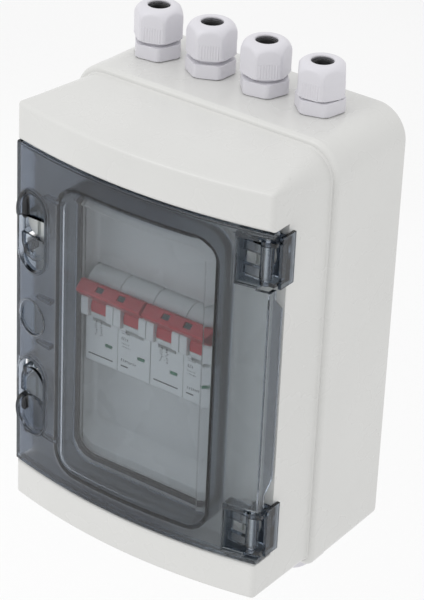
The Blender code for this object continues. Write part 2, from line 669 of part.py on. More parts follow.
def build_breakers(case_paint, red, black, zinc):
    for number, centre in ((1, -MODULE), (2, MODULE)):
        name = f"breaker_{number}"
        half = MODULE - 0.2
        case = prism_x([(y, z + RAIL_Z) for y, z in breaker_section()], centre - half, centre + half)
        hook_y, hook_low, hook_top = RAIL_FRONT_Y + RAIL_T + GAP, RAIL_Z + 14.2, RAIL_Z + 18.4
        hook_half = half - 0.4
        add(case, box(centre - hook_half, centre + hook_half, hook_y, BREAKER_BACK_Y, hook_low, hook_top))
        for side in (-1, 1):
            pole = centre + side * MODULE / 2
            x0, x1 = pole - TOGGLE_SLOT_HALF_W, pole + TOGGLE_SLOT_HALF_W
            z0, z1 = TOGGLE_Z - 8.0, TOGGLE_Z + 9.0
            cut(case, box(x0, x1, -90.0, TOGGLE_Y + 1.0, z0, z1))
            cut(case, rod_x(TOGGLE_Y, TOGGLE_Z, TOGGLE_R + 0.6, x0, x1, 24))
            for end, label in ((1, "upper"), (-1, "lower")):
                z = RAIL_Z + end * TERMINAL_Z
                cut(case, rod_y(pole, z, TERMINAL_R, SHOULDER_Y - 2.0, SHOULDER_Y + 6.0, 18))
                z0, z1 = sorted((RAIL_Z + end * (BREAKER_HALF - 8.0), RAIL_Z + end * (BREAKER_HALF + 2)))
                cut(case, box(pole - 3.6, pole + 3.6, SHOULDER_Y + 13.0, SHOULDER_Y + 20.0, z0, z1))
                screw = rod_y(pole, z, TERMINAL_R - GAP, SHOULDER_Y + 3.0, SHOULDER_Y + 5.7, 16)
                cut(screw, box(pole - 0.5, pole + 0.5, SHOULDER_Y + 2.0, SHOULDER_Y + 4.0, z - 4, z + 4))
                hand = "left" if side < 0 else "right"
                finish(screw, zinc, f"{name}_terminal_{label}_{hand}")
            cut(case, box(pole + 1.8, pole + 5.9, NOSE_Y - 1.0, NOSE_Y + 0.5, -10.4, -8.7))
            for edge in (-1, 1):
                x0, x1 = sorted((pole + edge * EAR_IN, pole + edge * EAR_OUT))
                add(case, box(x0, x1, NOSE_Y - EAR_RISE, NOSE_Y + 1.0, EAR_LOW, EAR_HIGH))
        low = RAIL_Z - BREAKER_HALF - 2.0
        cut(case, box(centre - 6.4, centre + 6.4, -24.6, BREAKER_BACK_Y + 2, low, RAIL_Z - 17.0))
        finish(case, case_paint, name)

        near, far = MODULE / 2 - TOGGLE_HALF_W, MODULE / 2 + TOGGLE_HALF_W
        toggle = rod_x(0.0, 0.0, TOGGLE_R, -far, -near, 24)
        add(toggle, rod_x(0.0, 0.0, TOGGLE_R, near, far, 24))
        for side in (-1, 1):
            x = side * MODULE / 2
            add(toggle, box(x - 4.1, x + 4.1, -13.0, -3.0, -3.2, 1.6))
        bar = [(-17.4, -2.8), (-16.6, -3.7), (-12.4, -3.7), (-12.4, 3.3), (-16.0, 3.3), (-17.4, 2.2)]
        add(toggle, prism_x(bar, -MODULE + 0.6, MODULE - 0.6))
        for side in (-1, 1):
            x0 = side * TOGGLE_WINDOW_X - TOGGLE_WINDOW_HALF_W
            x1 = side * TOGGLE_WINDOW_X + TOGGLE_WINDOW_HALF_W
            cut(toggle, box(x0, x1, -18.0, -16.2, -1.4, 1.3))
        toggle.data.transform(Matrix.Rotation(math.radians(-TOGGLE_UP), 4, "X"))
        toggle.location = Vector((centre, TOGGLE_Y, TOGGLE_Z)) * MM
        finish(toggle, red, name + "_toggle")

        clip_top, clip_bottom = RAIL_Z - DIN_CLIP_TOP, RAIL_Z - DIN_CLIP_BOTTOM
        x0, x1 = centre - DIN_CLIP_HALF_W, centre + DIN_CLIP_HALF_W
        clip = box(x0, x1, DIN_CLIP_FRONT_Y, DIN_CLIP_BACK_Y, clip_bottom, clip_top)
        slot = clip_bottom + 1.6
        cut(clip, box(centre - 2.5, centre + 2.5, -26.0, -20.0, slot, slot + 1.6))
        middle_y = (DIN_CLIP_FRONT_Y + DIN_CLIP_BACK_Y) / 2
        set_origin(finish(clip, black, name + "_din_clip"), centre, middle_y, clip_top)


def build_links(copper):
    """Bars that join the breakers' lower terminals, one for each polarity."""
    z_top = RAIL_Z - BREAKER_HALF
    half_w, thick = 2.5, 1.2
    bars = (
        ("link_bar_positive", -1.5 * MODULE, 14.6, 5.0),
        ("link_bar_negative", -0.5 * MODULE, 17.6, 10.0),
    )
    for name, first, depth, below in bars:
        y = SHOULDER_Y + depth
        drop = z_top - below
        second = first + 2 * MODULE
        bar = box(first - half_w, second + half_w, y, y + thick, drop, drop + 4.5)
        for x in (first, second):
            add(bar, box(x - half_w, x + half_w, y, y + thick, drop + 0.5, z_top + 6.5))
        finish(bar, copper, name)


def turned_rings(profile, phase, sign, x, z0, steps=18):
    """Rings round a vertical axis: each profile entry is (radius, height, hex across flats or 0)."""
    rings = []
    for radius, height, flats in profile:
        ring = []
        for k in range(steps):
            a = 2 * math.pi * k / steps
            r = radius
            if flats:
                off = (a + math.pi / 6) % (math.pi / 3) - math.pi / 6
                r = min(radius, flats / 2 / math.cos(math.pi / 6 - abs(off)))
            b = a + math.radians(phase)
            ring.append((x + r * math.cos(b), GLAND_Y + r * math.sin(b), z0 + sign * height))
        rings.append(ring)
    return rings


def build_gland(name, x, turn, nut_turn, stand_off, sign, nylon, rubber):
    seat = sign * (wall_half_height(GLAND_Y) + GAP)
    flats, corner = GLAND_AF, GLAND_AF / math.sqrt(3)
    hex_h, neck_top, neck_r, socket_r, tail = 6.4, 18.0, 7.6, 6.7, -12.0
    lift = hex_h + stand_off
    body = [
        (GLAND_BORE_R, tail, 0), (GLAND_THREAD_R, tail, 0), (GLAND_THREAD_R, 0.0, 0),
        (corner, 0.0, flats), (corner, hex_h, flats), (neck_r, hex_h, 0), (neck_r, neck_top, 0),
        (socket_r, neck_top, 0), (socket_r, 9.0, 0), (GLAND_BORE_R, 9.0, 0),
    ]
    finish(loft(turned_rings(body, turn, sign, x, seat), looped=True), nylon, name + "_body")
    nut = [
        (8.0, 0.0, 0), (corner, 0.0, flats), (corner, 8.0, flats), (10.0, 10.0, 0), (9.2, 12.2, 0),
        (7.8, 14.2, 0), (6.4, 15.0, 0), (5.0, 15.0, 0), (5.0, 13.8, 0), (8.0, 11.2, 0),
    ]
    nut_seat = seat + sign * (lift + GAP)
    cap = loft(turned_rings(nut, nut_turn, sign, x, nut_seat), looped=True)
    set_origin(finish(cap, nylon, name + "_nut"), x, GLAND_Y, nut_seat)
    top = lift + GAP + 13.3
    seal = [(3.3, 9.3, 0), (6.4, 9.3, 0), (6.4, 17.6, 0), (4.4, top, 0), (3.3, top, 0)]
    finish(loft(turned_rings(seal, 0.0, sign, x, seat, 14), looped=True), rubber, name + "_seal")
    inside = -sign * (GAP + BASE_WALL + GAP + 0.7)
    inner, outer, across = GLAND_THREAD_R + GAP, 11.6, 20.0
    locknut = [(inner, 0.0, 0), (outer, 0.0, across), (outer, 4.0, across), (inner, 4.0, 0)]
    rings = turned_rings(locknut, turn, -sign, x, seat + inside)
    finish(loft(rings, looped=True), nylon, name + "_locknut")


def main():
    clear_scene()
    abs_white = material("abs_white", (0.72, 0.73, 0.71), 0.42)
    nylon = material("nylon_white", (0.74, 0.73, 0.76), 0.45)
    smoked = material("smoked_polycarbonate", (0.10, 0.115, 0.14), 0.08, alpha=0.5)
    rubber = material("black_rubber", (0.02, 0.02, 0.022), 0.7)
    screw_white = material("screw_plastic", (0.70, 0.72, 0.70), 0.4)
    steel = material("zinc_steel", (0.62, 0.63, 0.65), 0.35, 1.0)
    breaker_white = material("breaker_case", (0.75, 0.75, 0.74), 0.4)
    red = material("toggle_red", (0.50, 0.03, 0.03), 0.35)
    black = material("black_plastic", (0.03, 0.03, 0.03), 0.5)
    copper = material("tinned_copper", (0.72, 0.45, 0.30), 0.35, 1.0)

    build_base(abs_white)
    build_cover_gasket(rubber)
    build_cover(abs_white)
    build_cover_screws(screw_white)
    build_door(smoked)
    build_door_gasket(rubber)
    build_lock_plug(smoked)
    build_latches(smoked)
    build_hinges(smoked, steel)
    build_rail(steel, steel)
    build_breakers(breaker_white, red, black, steel)
    build_links(copper)
    for name, x, turn, nut_turn, stand_off in TOP_GLANDS:
        build_gland(name, x, turn, nut_turn, stand_off, 1, nylon, rubber)
    for name, x, turn, nut_turn, stand_off in BOTTOM_GLANDS:
        build_gland(name, x, turn, nut_turn, stand_off, -1, nylon, rubber)


main()
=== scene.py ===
"""Looks of the DC combiner box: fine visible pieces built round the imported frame, their materials, a
pale floor, soft studio light and the camera.

Lengths are millimetres until they become a mesh, and metres after that. +X right, +Y into the wall, +Z up.
"""

import json
import random
from math import cos, pi, radians, sin, sqrt

import bmesh
import bpy
from mathutils import Matrix, Vector


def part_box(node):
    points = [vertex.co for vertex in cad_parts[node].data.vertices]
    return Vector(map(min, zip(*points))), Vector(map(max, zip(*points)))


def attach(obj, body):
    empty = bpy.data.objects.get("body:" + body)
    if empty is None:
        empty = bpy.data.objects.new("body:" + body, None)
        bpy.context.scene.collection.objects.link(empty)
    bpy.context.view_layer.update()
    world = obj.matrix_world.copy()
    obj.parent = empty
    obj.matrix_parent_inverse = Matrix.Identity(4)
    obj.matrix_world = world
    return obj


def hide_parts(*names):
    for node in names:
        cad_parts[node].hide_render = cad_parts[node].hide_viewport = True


MM = 0.001
WELD = 0.006

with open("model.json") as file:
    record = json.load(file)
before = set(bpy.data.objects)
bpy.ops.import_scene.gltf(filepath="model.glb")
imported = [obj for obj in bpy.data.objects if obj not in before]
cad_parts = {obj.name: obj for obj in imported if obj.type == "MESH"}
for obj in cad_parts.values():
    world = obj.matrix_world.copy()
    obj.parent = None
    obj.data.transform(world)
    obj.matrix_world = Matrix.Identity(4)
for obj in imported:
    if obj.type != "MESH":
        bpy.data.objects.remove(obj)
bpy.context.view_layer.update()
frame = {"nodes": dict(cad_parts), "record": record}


def extent(node):
    """x0, x1, y0, y1, z0, z1 of a CAD node at rest, in millimetres."""
    low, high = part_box(node)
    return [value / MM for axis in range(3) for value in (low[axis], high[axis])]


def middle(node, axis):
    low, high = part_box(node)
    return (low[axis] + high[axis]) / 2 / MM


# --- Sizes, from the frame's nodes ---

GAP = 0.3
BASE_X0, BASE_X1, BASE_Y0, _, BASE_Z0, BASE_Z1 = extent("base")
BOX_W, BOX_H = BASE_X1 - BASE_X0, BASE_Z1 - BASE_Z0
JOINT_Y = BASE_Y0
BASE_BACK_SCALE, BASE_WALL, RIM_ROUND, RIM_INNER = 0.993, 3.0, 2.6, 6.2
BASE_CORNER_R, BASE_LOW_CORNER_R = 15.5, 5.0
BAND_DEPTH, BAND_STEP = 10.7, 0.22
GROOVE_OUT, GROOVE_IN, GROOVE_DEPTH = 3.0, 5.0, 2.0
WALL_HOLE_X, WALL_HOLE_Z, WALL_HOLE_R = 48.0, 88.0, 2.6
MOULD_MARKS = ((-34, 62), (34, 62), (-34, -58), (34, -58), (0, 30), (0, -30))

COVER_X0, COVER_X1, COVER_Y0, _, COVER_Z0, COVER_Z1 = extent("front_cover")
COVER_FRONT_W, COVER_JOINT_H = COVER_X1 - COVER_X0, COVER_Z1 - COVER_Z0
COVER_JOINT_W, COVER_JOINT_R, COVER_LOW_JOINT_R = COVER_FRONT_W - 0.9, 13.5, 4.0
COVER_FRONT_H, COVER_FRONT_R = COVER_JOINT_H - 4.4, 1.8
HALF_FRONT = COVER_FRONT_W / 2
FRONT_BOW = 8.4
CORNER_Y = COVER_Y0 + FRONT_BOW
COVER_WALL, COVER_EDGE_R = 2.6, 2.2
DECK_Y, DECK_T = -84.4, 2.2
DOORWAY_HALF_H, DOORWAY_LIP = 81.7, 2.2

WELL_FLOOR_Y, WELL_T = -77.0, 2.0
WELL_HALF_W, WELL_TOP_HALF_H, WELL_FLOOR_HALF_H = 38.0, 66.5, 57.0
SEAT_HALF_W, SEAT_HALF_H, SEAT_R, SEAT_LAND, SEAT_Y = 42.0, 72.0, 12.0, 3.6, -85.8

DOOR_HALF_H = extent("door")[5]
DOOR_T, DOOR_RETURN, DOOR_RETURN_T = 2.2, 5.0, 1.8
WINDOW_X, WINDOW_Z = 1.5, -0.9
SKIRT_HALF_W, SKIRT_HALF_H, SKIRT_R, SKIRT_T, SKIRT_END_Y = 42.8, 72.6, 12.0, 1.8, -88.0
RIDGE_HALF_W, RIDGE_HALF_H, RIDGE_LAND, RIDGE_RISE = 43.0, 72.8, 5.4, 0.7
FLANGE_END_Y, FLANGE_TOP, FLANGE_BOTTOM, FLANGE_SLANT = -86.2, 49.0, -47.0, 6.0

HINGES = (("upper", middle("hinge_pin_upper", 2)), ("lower", middle("hinge_pin_lower", 2)))
HINGE_X, HINGE_Y = middle("hinge_pin_upper", 0), middle("hinge_pin_upper", 1)
PIN_R, BARREL_R, BARREL_HALF, ARM_IN, ARM_OUT, PLATE_HALF = 1.1, 2.9, 7.8, 8.2, 10.2, 12.0

# Heights between which the door's left wall reaches back to the cover, clear of the latch catches
LEFT_WALL_END_Y = -85.0
LEFT_WALLS = ((-80.0, -39.5), (-27.6, 23.0), (34.0, 80.0))

# Ribs behind the door: their left ends (x, z)
RIBS = ((-54.5, 9.4), (-54.5, -13.3), (-50.0, 60.5), (-50.0, -60.5))
RIB_LENGTH, RIB_HALF_T, RIB_DEPTH = 9.0, 0.9, 4.2

# Latch pockets: name, side, centres of the pocket's inner and outer ends, tab's end, hollow's start
LATCH_X, LATCH_R, POCKET_RIM = -57.3, 8.5, 1.3
# Black bars of painted shadow in the slots beside the finger hollows: their x and radius, and each one's name
# and ends in z
SLIT_X, SLIT_R = -63.9, 2.05
SLITS = (("upper", 44.6, 57.4), ("lower", -53.6, -44.8))
CATCH_X0, CATCH_X1, CATCH_LIP_X, CATCH_FRONT_Y, CATCH_LIP_T = -66.9, -65.3, -64.95, -90.0, 0.8
LATCHES = (("upper", 1, 30.0, 51.0, 37.6, 46.5), ("lower", -1, 32.5, 53.5, 43.2, 44.4))
LOCK_Z, LOCK_R, LOCK_RIM = middle("lock_hole_plug", 2), 8.3, 0.9

SCREW_HEAD_R, SCREW_HEAD_T, SCREW_R, SCREW_POST_R = 6.4, 4.0, 2.4, 5.2
COLLAR_T, COLLAR_ROOM, SCREW_SLOT_HALF_W, SCREW_SLOT_DEPTH = 1.6, 0.4, 0.9, 1.8
COVER_SCREWS = [
    (name, middle(name, 0), middle(name, 2), extent(name)[2])
    for name in (f"cover_screw_{end}_{hand}" for hand in ("left", "right") for end in ("upper", "lower"))
]

MODULE = 18.0
RAIL_Z, RAIL_FRONT_Y, RAIL_T, RAIL_SCREW_X, RAIL_POST_R = middle("breaker_1", 2), -25.5, 1.0, 41.0, 6.0
BREAKER_BACK_Y, SHOULDER_Y, NOSE_Y, NOSE_HALF, BREAKER_HALF = -20.5, -69.5, -85.5, 22.5, 40.0
TERMINAL_Z, TERMINAL_R, CABLE_WELL_HALF_W = 31.0, 3.4, 3.6
TOGGLE_Y, TOGGLE_Z, TOGGLE_UP = -80.0, 8.4, 48.0
TOGGLE_R, TOGGLE_HALF_W, TOGGLE_SLOT_HALF_W = 8.0, 4.5, 4.9
APRON_R, APRON_INNER_R = 8.25, 8.02
INDICATOR_X, INDICATOR_Z, INDICATOR_HALF_W, INDICATOR_HALF_H = 3.85, -9.55, 1.9, 0.72
TOGGLE_WINDOW_X, TOGGLE_WINDOW_HALF_W = 5.9, 1.9
EAR_OUT, EAR_LOW, EAR_HIGH, EAR_RISE = 8.8, 4.1, 14.6, 4.0
SEAM_HALF_W, SEAM_DEPTH, SEAM_SHRINK = 0.2, 0.5, 0.975

HANDS = ((-1, "left"), (1, "right"))

# Glands: name, which way up, hex turn and nut turn in degrees
GLANDS = (
    ("gland_top_1", 1, 8.0, 20.0),
    ("gland_top_2", 1, 27.0, 32.0),
    ("gland_top_3", 1, 12.0, 42.0),
    ("gland_top_4", 1, 18.0, 5.0),
    ("gland_bottom_1", -1, 10.0, 24.0),
    ("gland_bottom_2", -1, 25.0, 50.0),
)
GLAND_AF, THREAD_R, BORE_R, NECK_R, SOCKET_R, SEAL_R = 20.0, 8.0, 5.5, 7.6, 6.7, 6.4
GLAND_CORNER_R = GLAND_AF / sqrt(3)


# --- Camera, light and floor ---


def put(name, data):
    """An object in the scene that shows the given data."""
    obj = bpy.data.objects.new(name, data)
    bpy.context.scene.collection.objects.link(obj)
    return obj


def add_camera():
    """Long lens, above and to the right of the front, with a slight roll."""
    right = Vector((0.80324113, 0.59439374, 0.03872686))
    up = Vector((-0.317449, 0.37216202, 0.87219354))
    back = Vector((0.50401372, -0.71287552, 0.48762553))
    place = Matrix.Translation((0.588127, -0.873356, 0.572300))
    lens = bpy.data.cameras.new("camera")
    lens.sensor_fit = "VERTICAL"
    lens.sensor_height = 36.0
    lens.lens = 156.383
    lens.clip_start = 0.05
    lens.clip_end = 50.0
    camera = put("camera", lens)
    turn = Matrix((right, up, back)).transposed().to_4x4()
    camera.matrix_world = place @ turn
    bpy.context.scene.camera = camera


def add_light(name, at, towards, size, watts):
    lamp = bpy.data.lights.new(name, "AREA")
    lamp.shape = "DISK"
    lamp.size = size
    lamp.energy = watts
    light = put(name, lamp)
    light.location = at
    light.rotation_euler = (Vector(towards) - Vector(at)).to_track_quat("-Z", "Y").to_euler()


def add_studio():
    world = bpy.data.worlds.new("studio")
    bpy.context.scene.world = world
    world.use_nodes = True
    background = world.node_tree.nodes["Background"]
    background.inputs["Color"].default_value = (1.0, 1.0, 1.0, 1.0)
    background.inputs["Strength"].default_value = 0.92
    add_light("key_light", (-0.75, -1.5, 1.5), (0.0, -0.05, 0.0), 1.4, 9.5)
    add_light("top_light", (-0.1, 0.4, 1.9), (0.0, 0.0, 0.0), 1.6, 2.5)
    mesh = bpy.data.meshes.new("floor")
    reach, level = 6.0, -0.42
    corners = ((-reach, -reach), (reach, -reach), (reach, reach), (-reach, reach))
    mesh.from_pydata([(x, y, level) for x, y in corners], [], [(0, 1, 2, 3)])
    floor = put("floor", mesh)
    mesh.materials.append(floor_paint())
    bpy.context.scene.view_settings.view_transform = "Standard"


# --- Materials ---

# Moulded plastics: colour, roughness, grain's height, soil, grain's size in mm
PLASTICS = {
    "abs_white": ((0.66, 0.66, 0.645), 0.27, 0.35, 0.22, 0.45),
    "nylon_white": ((0.67, 0.66, 0.70), 0.40, 0.5, 0.1, 0.3),
    "screw_plastic": ((0.72, 0.74, 0.72), 0.38, 0.35, 0.1, 0.3),
    "breaker_case": ((0.80, 0.80, 0.78), 0.35, 0.35, 0.1, 0.25),
    "toggle_red": ((0.50, 0.010, 0.022), 0.30, 0.35, 0.1, 0.25),
    "black_plastic": ((0.016, 0.016, 0.018), 0.45, 0.35, 0.05, 0.2),
    "indicator_green": ((0.02, 0.17, 0.08), 0.3, 0.35, 0.0, 0.2),
}

# Smoked plastic: tints of the door's window; its frame from left to right, darker at the left as painted
# shade; the walls behind its front, darker still as painted shade; and the two tints that mix in the small
# pieces
WINDOW_TINT, FRAME_SHADE_TINTS = (0.93, 0.97, 1.0), ((0.56, 0.60, 0.67), (0.94, 0.98, 1.0))
BEHIND_SHADE_TINT, SMALL_TINTS = (0.33, 0.37, 0.425), ((0.58, 0.63, 0.69), (0.54, 0.59, 0.66))
FRAME_SHADE_X0, FRAME_SHADE_X1 = 12.0, 46.0
SMOKE_COLOUR, DOOR_DENSITY, SMALL_DENSITY = (0.10, 0.17, 0.25, 1.0), 95.0, 240.0


class Paint:
    """A node material under construction."""

    def __init__(self, name):
        self.material = bpy.data.materials.new(name)
        self.material.use_nodes = True
        self.nodes = self.material.node_tree.nodes
        self.shader = self.nodes["Principled BSDF"]
        self.place = self.nodes.new("ShaderNodeTexCoord").outputs["Object"]

    def link(self, source, target):
        self.material.node_tree.links.new(source, target)

    def feed(self, socket, value):
        if hasattr(value, "links"):
            self.link(value, socket)
        else:
            socket.default_value = value

    def finish(self, colour, rough, layers):
        """Links the patterns of colour and roughness, and the bump layers, to the shader."""
        self.link(colour, self.shader.inputs["Base Color"])
        self.link(rough, self.shader.inputs["Roughness"])
        self.bump(layers)
        return self.material

    def axes(self):
        """The sockets X, Y and Z of the place on the piece."""
        node = self.nodes.new("ShaderNodeSeparateXYZ")
        self.link(self.place, node.inputs[0])
        return node.outputs

    def set(self, **values):
        self.fill(self.shader, **values)

    def fill(self, node, **values):
        for key, value in values.items():
            node.inputs[key.replace("_", " ")].default_value = value

    def noise(self, scale, detail=3.0, rough=0.5, stretch=None, seed=0.0):
        node = self.nodes.new("ShaderNodeTexNoise")
        node.noise_dimensions = "4D"
        self.fill(node, W=seed, Scale=scale, Detail=detail, Roughness=rough)
        if stretch:
            mapping = self.nodes.new("ShaderNodeMapping")
            self.fill(mapping, Rotation=stretch[0], Scale=stretch[1])
            self.link(self.place, mapping.inputs["Vector"])
            self.link(mapping.outputs["Vector"], node.inputs["Vector"])
        else:
            self.link(self.place, node.inputs["Vector"])
        return node.outputs["Fac"]

    def span(self, source, low, high, to_low=0.0, to_high=1.0, smooth=False):
        node = self.nodes.new("ShaderNodeMapRange")
        node.interpolation_type = "SMOOTHSTEP" if smooth else "LINEAR"
        self.fill(node, From_Min=low, From_Max=high, To_Min=to_low, To_Max=to_high)
        self.link(source, node.inputs["Value"])
        return node.outputs["Result"]

    def maths(self, operation, a, b):
        node = self.nodes.new("ShaderNodeMath")
        node.operation = operation
        for socket, value in zip(node.inputs, (a, b)):
            self.feed(socket, value)
        return node.outputs[0]

    def blend(self, factor, a, b):
        node = self.nodes.new("ShaderNodeMix")
        node.data_type = "RGBA"
        self.link(factor, node.inputs["Factor"])
        for key, value in (("A", a), ("B", b)):
            socket = [s for s in node.inputs if s.name == key and s.type == "RGBA"][0]
            self.feed(socket, (*value, 1.0) if isinstance(value, tuple) else value)
        return [s for s in node.outputs if s.type == "RGBA"][0]

    def bump(self, layers):
        """Adds (height, strength, distance in mm) layers, one on the other, to the shader's normal."""
        last = None
        for height, strength, distance in layers:
            node = self.nodes.new("ShaderNodeBump")
            self.fill(node, Strength=strength, Distance=distance * MM)
            self.link(height, node.inputs["Height"])
            if last:
                self.link(last, node.inputs["Normal"])
            last = node.outputs["Normal"]
        self.link(last, self.shader.inputs["Normal"])


def shade(colour, share):
    return tuple(c * share for c in colour)


def moulded(name, colour, gloss, grain, soil, grain_size):
    """Injection-moulded plastic: fine grain, slow waves of sink, uneven gloss and a few faint scuffs."""
    paint = Paint(name)
    tone = paint.noise(14.0, 4.0, 0.6, seed=1.0)
    mottled = paint.blend(paint.span(tone, 0.3, 0.7), shade(colour, 0.975), shade(colour, 1.02))
    fleck = paint.noise(900.0, 2.0, 0.5, seed=2.0)
    flecked = paint.blend(paint.span(fleck, 0.62, 0.8, 0.0, 0.35), mottled, shade(colour, 0.93))
    smear = paint.noise(22.0, 5.0, 0.65, ((0.3, 0.5, 0.2), (1.0, 1.0, 2.6)), seed=3.0)
    rubbed = paint.noise(160.0, 4.0, 0.7, ((0.0, 0.6, 0.4), (0.5, 3.0, 1.0)), seed=4.0)
    smeared = paint.span(smear, 0.62, 0.78, smooth=True)
    soiled = paint.maths("MULTIPLY", smeared, paint.span(rubbed, 0.5, 0.75, 0.0, soil, smooth=True))
    warm = (colour[0] * 0.74, colour[1] * 0.68, colour[2] * 0.58)
    paint.set(IOR=1.5, Specular_IOR_Level=0.45)
    hazed = paint.span(paint.noise(35.0, 3.0, 0.5, seed=5.0), 0.3, 0.7, gloss * 0.88, gloss * 1.14)
    rough = paint.maths("ADD", hazed, paint.maths("MULTIPLY", soiled, 0.5))
    scratch = paint.noise(70.0, 2.0, 0.4, ((0.5, 0.9, 0.1), (0.4, 14.0, 14.0)), seed=6.0)
    return paint.finish(paint.blend(soiled, flecked, warm), rough, [
        (paint.noise(26.0, 1.0, 0.4, seed=7.0), 0.25, 0.5),
        (paint.noise(1.0 / (grain_size * MM), 2.0, 0.5, seed=8.0), grain, 0.02),
        (paint.span(scratch, 0.68, 0.74), 0.2, 0.02),
    ])


def smoked_plastic(name, window):
    """Smoked polycarbonate, darker with thickness. With window, the frame round the window is frosted, and
    tinted darker than the window as painted shade, most at its left; the walls behind the front get a darker
    painted shade still.
    """
    paint = Paint(name)
    paint.set(Transmission_Weight=1.0, IOR=1.45)
    haze = paint.noise(40.0, 3.0, 0.6, seed=11.0)
    frost = paint.noise(2600.0, 2.0, 0.5, seed=12.0)
    scratch = paint.noise(90.0, 2.0, 0.4, ((0.2, 0.7, 0.9), (12.0, 12.0, 0.5)), seed=13.0)
    clear_rough = paint.span(haze, 0.3, 0.7, 0.03, 0.07)
    if window:
        mask = outside_window(paint)
        # The frame outside the window is tinted darker than the window, most at its left: painted shade.
        less_shade_to_right = paint.span(paint.axes()["X"], FRAME_SHADE_X0 * MM, FRAME_SHADE_X1 * MM, smooth=True)
        shell = paint.blend(mask, WINDOW_TINT, paint.blend(less_shade_to_right, *FRAME_SHADE_TINTS))
        # The walls and ribs behind the front get a darker tint than the same plastic in front: painted shade.
        tint = paint.blend(behind_front(paint), shell, BEHIND_SHADE_TINT)
        rough = paint.maths("ADD", clear_rough, paint.maths("MULTIPLY", mask, 0.13))
        frosted = paint.maths("MULTIPLY", mask, frost)
    else:
        tint = paint.blend(paint.span(haze, 0.3, 0.7), *SMALL_TINTS)
        rough = clear_rough
        frosted = paint.maths("MULTIPLY", frost, 0.3)
    absorb = paint.nodes.new("ShaderNodeVolumeAbsorption")
    paint.fill(absorb, Color=SMOKE_COLOUR, Density=DOOR_DENSITY if window else SMALL_DENSITY)
    paint.link(absorb.outputs["Volume"], paint.nodes["Material Output"].inputs["Volume"])
    scratched = paint.span(scratch, 0.7, 0.76)
    return paint.finish(tint, rough, [(frosted, 0.12, 0.03), (scratched, 0.08, 0.02)])


def behind_front(paint):
    """0 on the door's bowed front shell and 1 on the walls and ribs that stand behind it, where the darker
    tint of painted shade goes.
    """
    axes = paint.axes()
    across = paint.maths("MULTIPLY", axes["X"], axes["X"])
    bow = paint.maths("MULTIPLY", across, FRONT_BOW / HALF_FRONT ** 2 / MM)
    depth = paint.maths("SUBTRACT", axes["Y"], bow)
    start = (COVER_Y0 + DOOR_T) * MM
    return paint.span(depth, start + 0.1 * MM, start + 0.7 * MM, smooth=True)


def outside_window(paint):
    """1 outside the rounded window of the door and 0 inside it, from the distance to its outline."""
    axes = paint.axes()
    radius = SKIRT_R * MM
    parts = []
    for axis, centre, half in (("X", WINDOW_X, SKIRT_HALF_W), ("Z", WINDOW_Z, SKIRT_HALF_H)):
        place = paint.maths("SUBTRACT", axes[axis], centre * MM)
        size = paint.maths("ABSOLUTE", place, 0.0)
        past = paint.maths("SUBTRACT", size, half * MM - radius)
        past = paint.maths("MAXIMUM", past, 0.0)
        parts.append(paint.maths("MULTIPLY", past, past))
    far = paint.maths("SQRT", paint.maths("ADD", *parts), 0.0)
    return paint.span(far, radius - 2.6 * MM, radius - 1.0 * MM, smooth=True)


def rubber(name):
    paint = Paint(name)
    dust = paint.noise(300.0, 4.0, 0.6, seed=21.0)
    tone = paint.blend(paint.span(dust, 0.45, 0.75), (0.014, 0.014, 0.016), (0.045, 0.043, 0.042))
    grain = paint.noise(1500.0, 2.0, 0.5, seed=22.0)
    return paint.finish(tone, paint.span(dust, 0.3, 0.7, 0.55, 0.8), [(grain, 0.4, 0.03)])


def plated(name, colour, gloss):
    """Plated metal: brushed streaks, patches of duller plating."""
    paint = Paint(name)
    streak = paint.noise(260.0, 3.0, 0.6, ((0.0, 0.0, 0.0), (0.15, 4.0, 4.0)), seed=31.0)
    patch = paint.noise(60.0, 4.0, 0.6, seed=32.0)
    tone = paint.blend(paint.span(patch, 0.35, 0.7), colour, shade(colour, 0.82))
    paint.set(Metallic=1.0)
    return paint.finish(tone, paint.span(streak, 0.3, 0.7, gloss * 0.75, gloss * 1.3), [(streak, 0.15, 0.02)])


def floor_paint():
    paint = Paint("studio_floor")
    tone = paint.noise(2.0, 2.0, 0.5, seed=41.0)
    grey = paint.blend(paint.span(tone, 0.3, 0.7), (0.93, 0.93, 0.93), (0.95, 0.95, 0.95))
    paint.link(grey, paint.shader.inputs["Base Color"])
    paint.set(Roughness=0.9, Specular_IOR_Level=0.1)
    return paint.material


# --- Mesh helpers ---


def solid(name, points, faces):
    """An object from points in millimetres, its faces turned outwards."""
    mesh = bpy.data.meshes.new(name)
    mesh.from_pydata([Vector(p) * MM for p in points], [], faces)
    shape = bmesh.new()
    shape.from_mesh(mesh)
    bmesh.ops.recalc_face_normals(shape, faces=shape.faces)
    shape.to_mesh(mesh)
    shape.free()
    return put(name, mesh)


def clean(mesh, straighten):
    """Merges points in one place and turns the faces outwards. It can drop needless points on edges."""
    shape = bmesh.new()
    shape.from_mesh(mesh)
    bmesh.ops.remove_doubles(shape, verts=shape.verts, dist=WELD * MM)
    bmesh.ops.dissolve_degenerate(shape, edges=shape.edges, dist=WELD * MM)
    if straighten:
        needless = [v for v in shape.verts if len(v.link_edges) == 2 and v.calc_edge_angle(pi) < 0.01]
        bmesh.ops.dissolve_verts(shape, verts=needless)
    bmesh.ops.recalc_face_normals(shape, faces=shape.faces)
    shape.to_mesh(mesh)
    shape.free()


def combine(obj, other, operation):
    """Boolean of obj with other, which is used up."""
    modifier = obj.modifiers.new("boolean", "BOOLEAN")
    modifier.operation = operation
    modifier.solver = "EXACT"
    modifier.object = other
    bpy.context.view_layer.update()
    graph = bpy.context.evaluated_depsgraph_get()
    result = bpy.data.meshes.new_from_object(obj.evaluated_get(graph))
    obj.modifiers.remove(modifier)
    old = obj.data
    obj.data = result
    bpy.data.meshes.remove(old)
    bpy.data.objects.remove(other, do_unlink=True)


